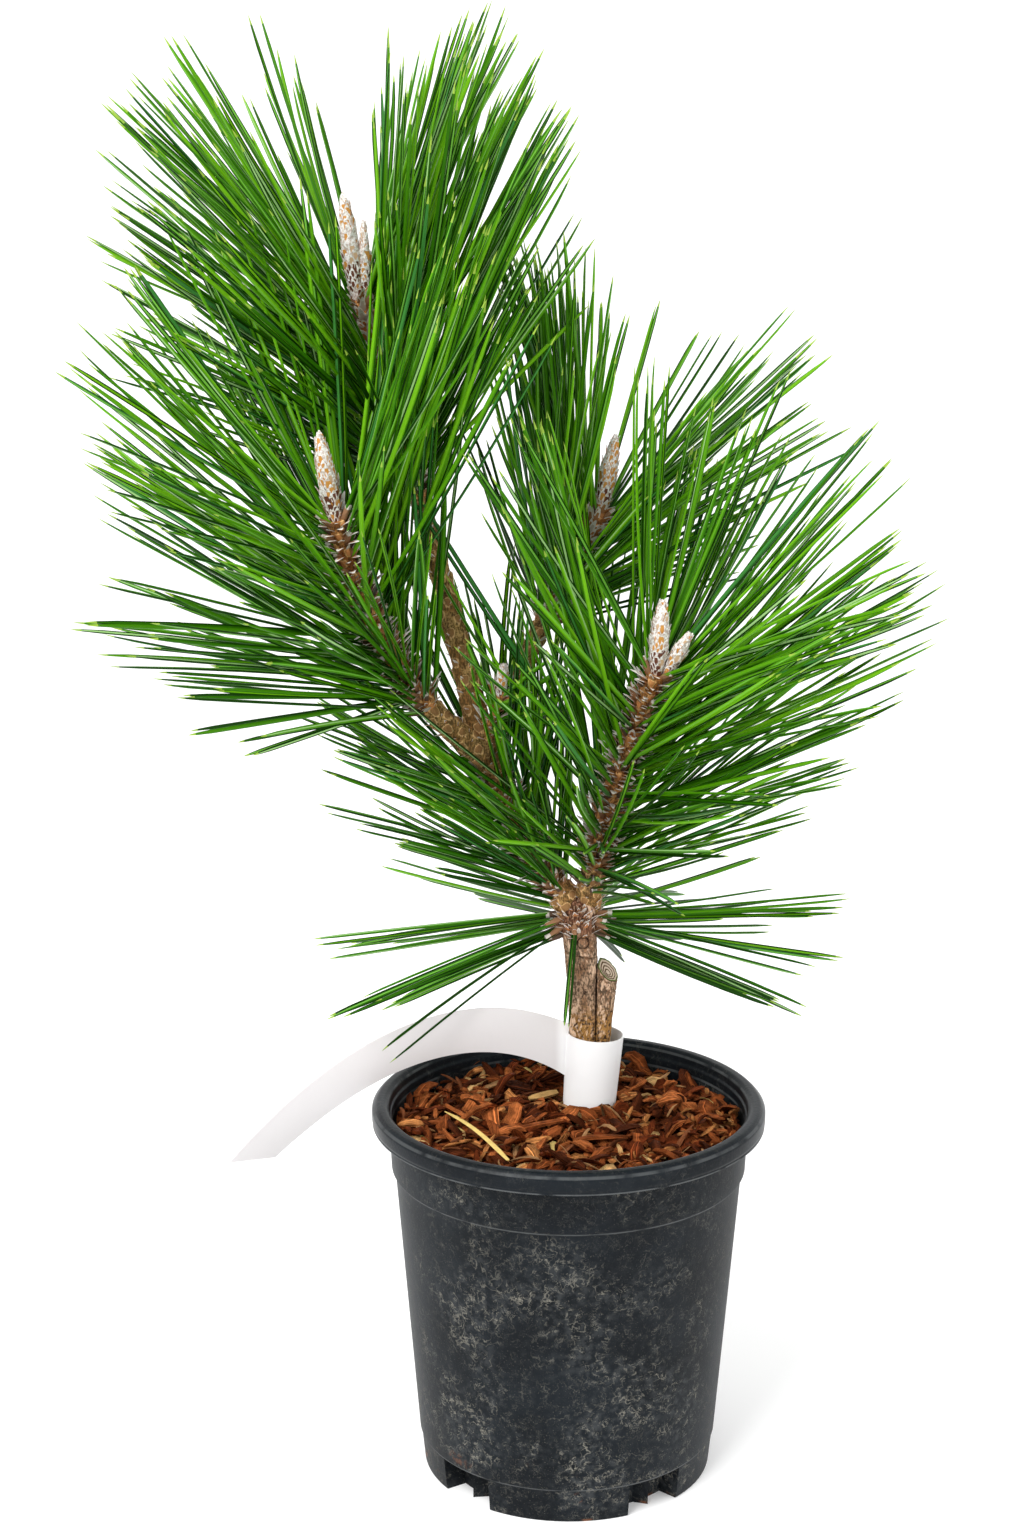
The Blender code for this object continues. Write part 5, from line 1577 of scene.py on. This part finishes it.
def make_shoots(settings, wood):
    """Needle-bearing stems, scales, needles, sheaths and buds of every mass."""
    young = bark_finish("shoot_bark", wood.young, (0.150, 0.060, 0.028), (0.560, 0.250, 0.090))
    needles = needle_finishes(settings)
    sheaths, scales, buds = sheath_finishes(), scale_finishes(), bud_finishes()
    fences, views = limb_fences(), view_lines()
    for name, mass in MASSES.items():
        node = "needles_" + name
        rng = np.random.default_rng(SEED + 7 * len(name) + ord(name[0]))
        roots, headings = make_needles(name, settings, needles, fences, views)
        make_sheaths(name, roots, headings, sheaths, rng)
        foot = max(mass.start, BARE.get(name, 0.0))
        points, radii = limb_route(mass.limb, np.linspace(foot, mass.end, 90))
        if name in BUDS:
            rings, poles, relief = bark_skin(
                points, radii, SHOOT_RELIEF, 60 + len(name), 48, mass.pairs // 3)
            place(one_piece(name + "_stem", [young], (rings, poles, 0, relief)), "needles", node)
            make_buds(name, buds, rng)
        length = FORK_SCALE if name == "fork" else SHOOT_SCALE
        count = max(FEWEST_SCALES, int(mass.pairs * SCALES_PER_PAIR))
        skins = stem_scales(points, radii, count, rng, length, SHOOT_SCALE_LEAN)
        place(one_piece(name + "_scales", scales, skins), "needles", node)


def make_boughs():
    """Bare stretches of the limbs, with pegs left by old needles and a few loose scales."""
    rng = np.random.default_rng(SEED + 5)
    older = bark_finish("bough_bark", OLDER_BARK, (0.060, 0.030, 0.016), (0.300, 0.160, 0.065))
    for name, end, pegs in BOUGHS:
        make_bough(name, end, pegs, older)
        points, radii = limb_route(name, np.linspace(0.0, end, 60))
        skins = stem_scales(points, radii, pegs, rng, BOUGH_SCALE, BOUGH_SCALE_LEAN)
        node = "bough_" + name
        place(one_piece(node + "_scales", scale_finishes(), skins), "bark", node)


# Label


def label_finish(settings):
    """Thin matt white plastic with a faint unevenness, and painted shade that greys the tail."""
    finish = Finish("label_white", settings.plastic, 0.42, 0.2)
    tone = finish.noise(60.0, 2.0)
    # Painted shade: past a point aside from the collar the white turns into the tail's grey
    along = finish.node("ShaderNodeSeparateXYZ", inputs={0: finish.place()}).step(*TAIL_SHADE_SPAN)
    colour = finish.mix(along, settings.plastic, settings.tail)
    finish.feed("Base Color", finish.mix(tone.step(0.30, 0.75) * 0.12, colour, (0.60, 0.58, 0.57)))
    finish.feed("Roughness", 0.36 + 0.14 * tone)
    finish.bump(finish.noise(120.0, 2.0), 0.0005, 0.25)
    return finish.material


def tail_route(shares):
    """The strap's tail: one smooth cubic arch from the collar over the rim to its free end."""
    on = np.asarray(shares, dtype=float)[:, None]
    back = 1.0 - on
    a, b, c, d = TAIL_POINTS
    return back ** 3 * a + 3.0 * back ** 2 * on * b + 3.0 * back * on ** 2 * c + on ** 3 * d


def make_collar(settings, white):
    """The collar: a thin band round the trunk's foot that leans with it and isn't quite round.

    At turn a and share s of the way up, the radius is multiplied by
    1 + 0.012 s cos(2 a + 0.6) + 0.006 cos(3 a).
    """
    steps = np.linspace(0.0, 1.0, 26)[:, None]
    centre = COLLAR_FOOT + steps * (COLLAR_TOP - COLLAR_FOOT)
    radius = COLLAR_FOOT_RADIUS + steps * (COLLAR_TOP_RADIUS - COLLAR_FOOT_RADIUS)
    _, first, second = frames(centre[None], (1.0, 0.0, 0.0))
    turns = np.linspace(0.0, math.tau, COLLAR_SIDES, endpoint=False)
    wobble = 1.0 + 0.012 * np.cos(2.0 * turns + 0.6) * steps + 0.006 * np.cos(3.0 * turns)
    skins = []
    for inset in (0.0, settings.thickness):
        section = round_section(COLLAR_SIDES) * ((radius - inset) * wobble)[..., None]
        rings, _ = sweep(centre[None], first, second, section[None])
        skins.append(rings[0])
    loop = np.concatenate((skins[0], skins[1][::-1]))
    place(tube_ring("label_band", loop, white), "label", "label_collar")


def make_tail(settings, white):
    """The stiff tail that arches over the rim.

    Across the tail its upper edge leans from upright towards the front by an angle that
    grows with the square of the way along, and both ends are cut on a slant.
    """
    shares = np.linspace(TAIL_FROM, 1.0, 110)
    points = tail_route(shares)
    directions = unit(np.gradient(points, axis=0))
    front = unit(np.cross(directions, UP))
    front *= -np.sign(front[:, 1:2])
    upward = np.cross(directions, front)
    upward *= np.sign(upward[:, 2:3])
    lean = (TAIL_END_LEAN * shares ** 2)[:, None]
    width = np.cos(lean) * upward + np.sin(lean) * front
    face = np.cos(lean) * front - np.sin(lean) * upward
    slant = (TAIL_START_SLANT * np.clip(1.0 - shares / 0.15, 0.0, 1.0)
             + TAIL_END_SLANT * np.clip((shares - 0.9) / 0.1, 0.0, 1.0))[:, None] * directions
    across = np.linspace(-1.0, 1.0, 9)
    rows = np.concatenate((across, across[::-1]))[None, :, None]
    sides = np.repeat((-1.0, 1.0), len(across))[None, :, None]
    arched = np.sin(math.pi * np.clip(shares, 0.0, 1.0))[:, None, None]
    cup = TAIL_CUP * (1.0 - rows ** 2) * arched
    rings = (points[:, None] + rows * 0.5 * STRAP_WIDTH * (width + slant)[:, None]
             + (sides * 0.5 * settings.thickness + cup) * face[:, None])
    if np.sum(np.cross(width, face) * directions) < 0.0:
        rings = rings[:, ::-1]
    poles = np.stack((rings[0].mean(axis=0), rings[-1].mean(axis=0)))[None]
    strap = one_piece("label_strap", [white], (rings[None], poles), math.radians(50.0))
    place(strap, "label", "label_tail")


def make_label(settings):
    """The blank strap: a collar round the trunk's foot and its tail, in one white plastic."""
    white = label_finish(settings)
    make_collar(settings, white)
    make_tail(settings, white)


def tube_ring(name, loop, material):
    """A ring-shaped skin over rows of points, with the last row joined to the first."""
    rows, sides, _ = loop.shape
    row, side = np.meshgrid(np.arange(rows), np.arange(sides), indexing="ij")
    after = (side + 1) % sides
    below = (row + 1) % rows
    faces = np.stack((row * sides + side, row * sides + after,
                      below * sides + after, below * sides + side), -1).reshape(-1, 4)
    mesh = bpy.data.meshes.new(name)
    mesh.from_pydata(loop.reshape(-1, 3).tolist(), [], faces.tolist())
    mesh.validate()
    dress(mesh, [material], math.radians(50.0))
    return linked(name, mesh)


# Stage


def area_light(name, where, target, size, power):
    """A soft rectangular light at a place, turned to a target."""
    light = bpy.data.lights.new(name, "AREA")
    light.shape = "RECTANGLE"
    light.size, light.size_y = size
    light.energy = power
    holder = linked(name, light)
    holder.location = where
    aim = unit(np.array(target) - np.array(where))
    holder.rotation_euler = (math.acos(-aim[2]), 0.0, math.atan2(aim[0], -aim[1]) + math.pi)


def make_floor():
    """A white floor, flat to 2 m behind the pot and then rising on a circle of 1.5 m radius."""
    run = np.linspace(FLOOR_NEAR, FLOOR_FAR, FLOOR_ROWS)
    bend = np.clip((run - RISE_START) / RISE_RADIUS, 0.0, math.pi / 2)
    depth = np.where(run < RISE_START, run, RISE_START + RISE_RADIUS * np.sin(bend))
    upright = np.maximum(0.0, run - RISE_START - RISE_RADIUS * math.pi / 2)
    height = RISE_RADIUS * (1.0 - np.cos(bend)) + upright
    x, y = np.meshgrid(np.linspace(-FLOOR_HALF_WIDTH, FLOOR_HALF_WIDTH, FLOOR_COLUMNS), depth)
    z = np.broadcast_to(height[:, None], x.shape)
    verts = np.stack((x, y, z), -1).reshape(-1, 3)
    row, column = np.meshgrid(np.arange(FLOOR_ROWS - 1), np.arange(FLOOR_COLUMNS - 1), indexing="ij")
    low = (row * FLOOR_COLUMNS + column).ravel()
    high = low + FLOOR_COLUMNS
    mesh = bpy.data.meshes.new("floor")
    mesh.from_pydata(verts.tolist(), [], np.stack((low, low + 1, high + 1, high), -1).tolist())
    mesh.shade_smooth()
    white = Finish("floor_white", (0.93, 0.93, 0.93), 0.95, 0.0)
    white.feed("Emission Color", (1.0, 1.0, 1.0))
    white.feed("Emission Strength", FLOOR_GLOW)
    mesh.materials.append(white.material)
    linked("floor", mesh)


def make_camera():
    """The camera of the front view."""
    camera = bpy.data.cameras.new("camera")
    camera.lens = CAMERA_LENS
    camera.sensor_width = SENSOR
    camera.clip_start = 0.05
    camera.clip_end = 50.0
    holder = linked("camera", camera)
    holder.location = CAMERA_PLACE
    holder.rotation_euler = (math.pi / 2 - CAMERA_PITCH, 0.0, 0.0)
    bpy.context.scene.camera = holder


def make_stage(settings):
    """White floor rising into a backdrop, soft lights, white surroundings and the camera."""
    make_floor()
    world = bpy.data.worlds.new("surroundings")
    world.use_nodes = True
    background = world.node_tree.nodes["Background"]
    background.inputs["Color"].default_value = (1.0, 1.0, 1.0, 1.0)
    background.inputs["Strength"].default_value = settings.sky
    bpy.context.scene.world = world
    bpy.context.scene.view_settings.view_transform = "Standard"
    area_light("key_light", (-1.1, -1.5, 2.2), (0.0, 0.0, 0.3), (1.4, 1.4), settings.key)
    area_light("fill_light", (1.7, -1.2, 1.0), (0.0, 0.0, 0.3), (1.5, 1.5), settings.fill)
    make_camera()


# Operators and panel


class PINE_OT_pot(bpy.types.Operator):
    """Build the nursery pot"""

    bl_idname = "pine.pot"
    bl_label = "Nursery pot"

    def execute(self, context):
        make_pot(context.scene.pine_pot)
        return {"FINISHED"}


class PINE_OT_mix(bpy.types.Operator):
    """Build the potting mix with its bark chips"""

    bl_idname = "pine.mix"
    bl_label = "Potting mix"

    def execute(self, context):
        make_mix(context.scene.pine_mix)
        return {"FINISHED"}


class PINE_OT_trunk(bpy.types.Operator):
    """Build the trunk and its sawn-off first leader"""

    bl_idname = "pine.trunk"
    bl_label = "Trunk"

    def execute(self, context):
        make_trunk(context.scene.pine_wood)
        return {"FINISHED"}


class PINE_OT_boughs(bpy.types.Operator):
    """Build the bare boughs"""

    bl_idname = "pine.boughs"
    bl_label = "Boughs"

    def execute(self, context):
        make_boughs()
        return {"FINISHED"}


class PINE_OT_shoots(bpy.types.Operator):
    """Build shoots, needles, scales and buds"""

    bl_idname = "pine.shoots"
    bl_label = "Shoots and needles"

    def execute(self, context):
        make_shoots(context.scene.pine_needles, context.scene.pine_wood)
        return {"FINISHED"}


class PINE_OT_label(bpy.types.Operator):
    """Build the blank strap label"""

    bl_idname = "pine.label"
    bl_label = "Strap label"

    def execute(self, context):
        make_label(context.scene.pine_label)
        return {"FINISHED"}


class PINE_OT_stage(bpy.types.Operator):
    """Set up floor, lights and camera"""

    bl_idname = "pine.stage"
    bl_label = "Stage"

    def execute(self, context):
        make_stage(context.scene.pine_stage)
        return {"FINISHED"}


SETTINGS = {
    "pine_pot": PotSettings, "pine_mix": MixSettings, "pine_wood": WoodSettings,
    "pine_needles": NeedleSettings, "pine_label": LabelSettings, "pine_stage": StageSettings,
}
OPERATORS = (PINE_OT_stage, PINE_OT_pot, PINE_OT_mix, PINE_OT_trunk, PINE_OT_boughs,
             PINE_OT_shoots, PINE_OT_label)


class PINE_PT_build(bpy.types.Panel):
    """Sidebar panel that lists the settings and the operators"""

    bl_idname = "PINE_PT_build"
    bl_label = "Potted black pine"
    bl_space_type = "VIEW_3D"
    bl_region_type = "UI"
    bl_category = "Pine"

    def draw(self, context):
        for name, group in SETTINGS.items():
            for setting in group.__annotations__:
                self.layout.prop(getattr(context.scene, name), setting)
        for operator in OPERATORS:
            self.layout.operator(operator.bl_idname)


def register():
    """Register the settings, the operators and the panel."""
    for group in SETTINGS.values():
        bpy.utils.register_class(group)
    for operator in OPERATORS:
        bpy.utils.register_class(operator)
    bpy.utils.register_class(PINE_PT_build)
    for name, group in SETTINGS.items():
        setattr(bpy.types.Scene, name, bpy.props.PointerProperty(type=group))


def unregister():
    """Take everything off again, in the opposite order."""
    for name in SETTINGS:
        delattr(bpy.types.Scene, name)
    bpy.utils.unregister_class(PINE_PT_build)
    for operator in reversed(OPERATORS):
        bpy.utils.unregister_class(operator)
    for group in reversed(list(SETTINGS.values())):
        bpy.utils.unregister_class(group)


def main():
    register()
    bpy.ops.pine.stage()
    bpy.ops.pine.pot()
    bpy.ops.pine.mix()
    bpy.ops.pine.trunk()
    bpy.ops.pine.boughs()
    bpy.ops.pine.shoots()
    bpy.ops.pine.label()


if __name__ == "__main__":
    main()
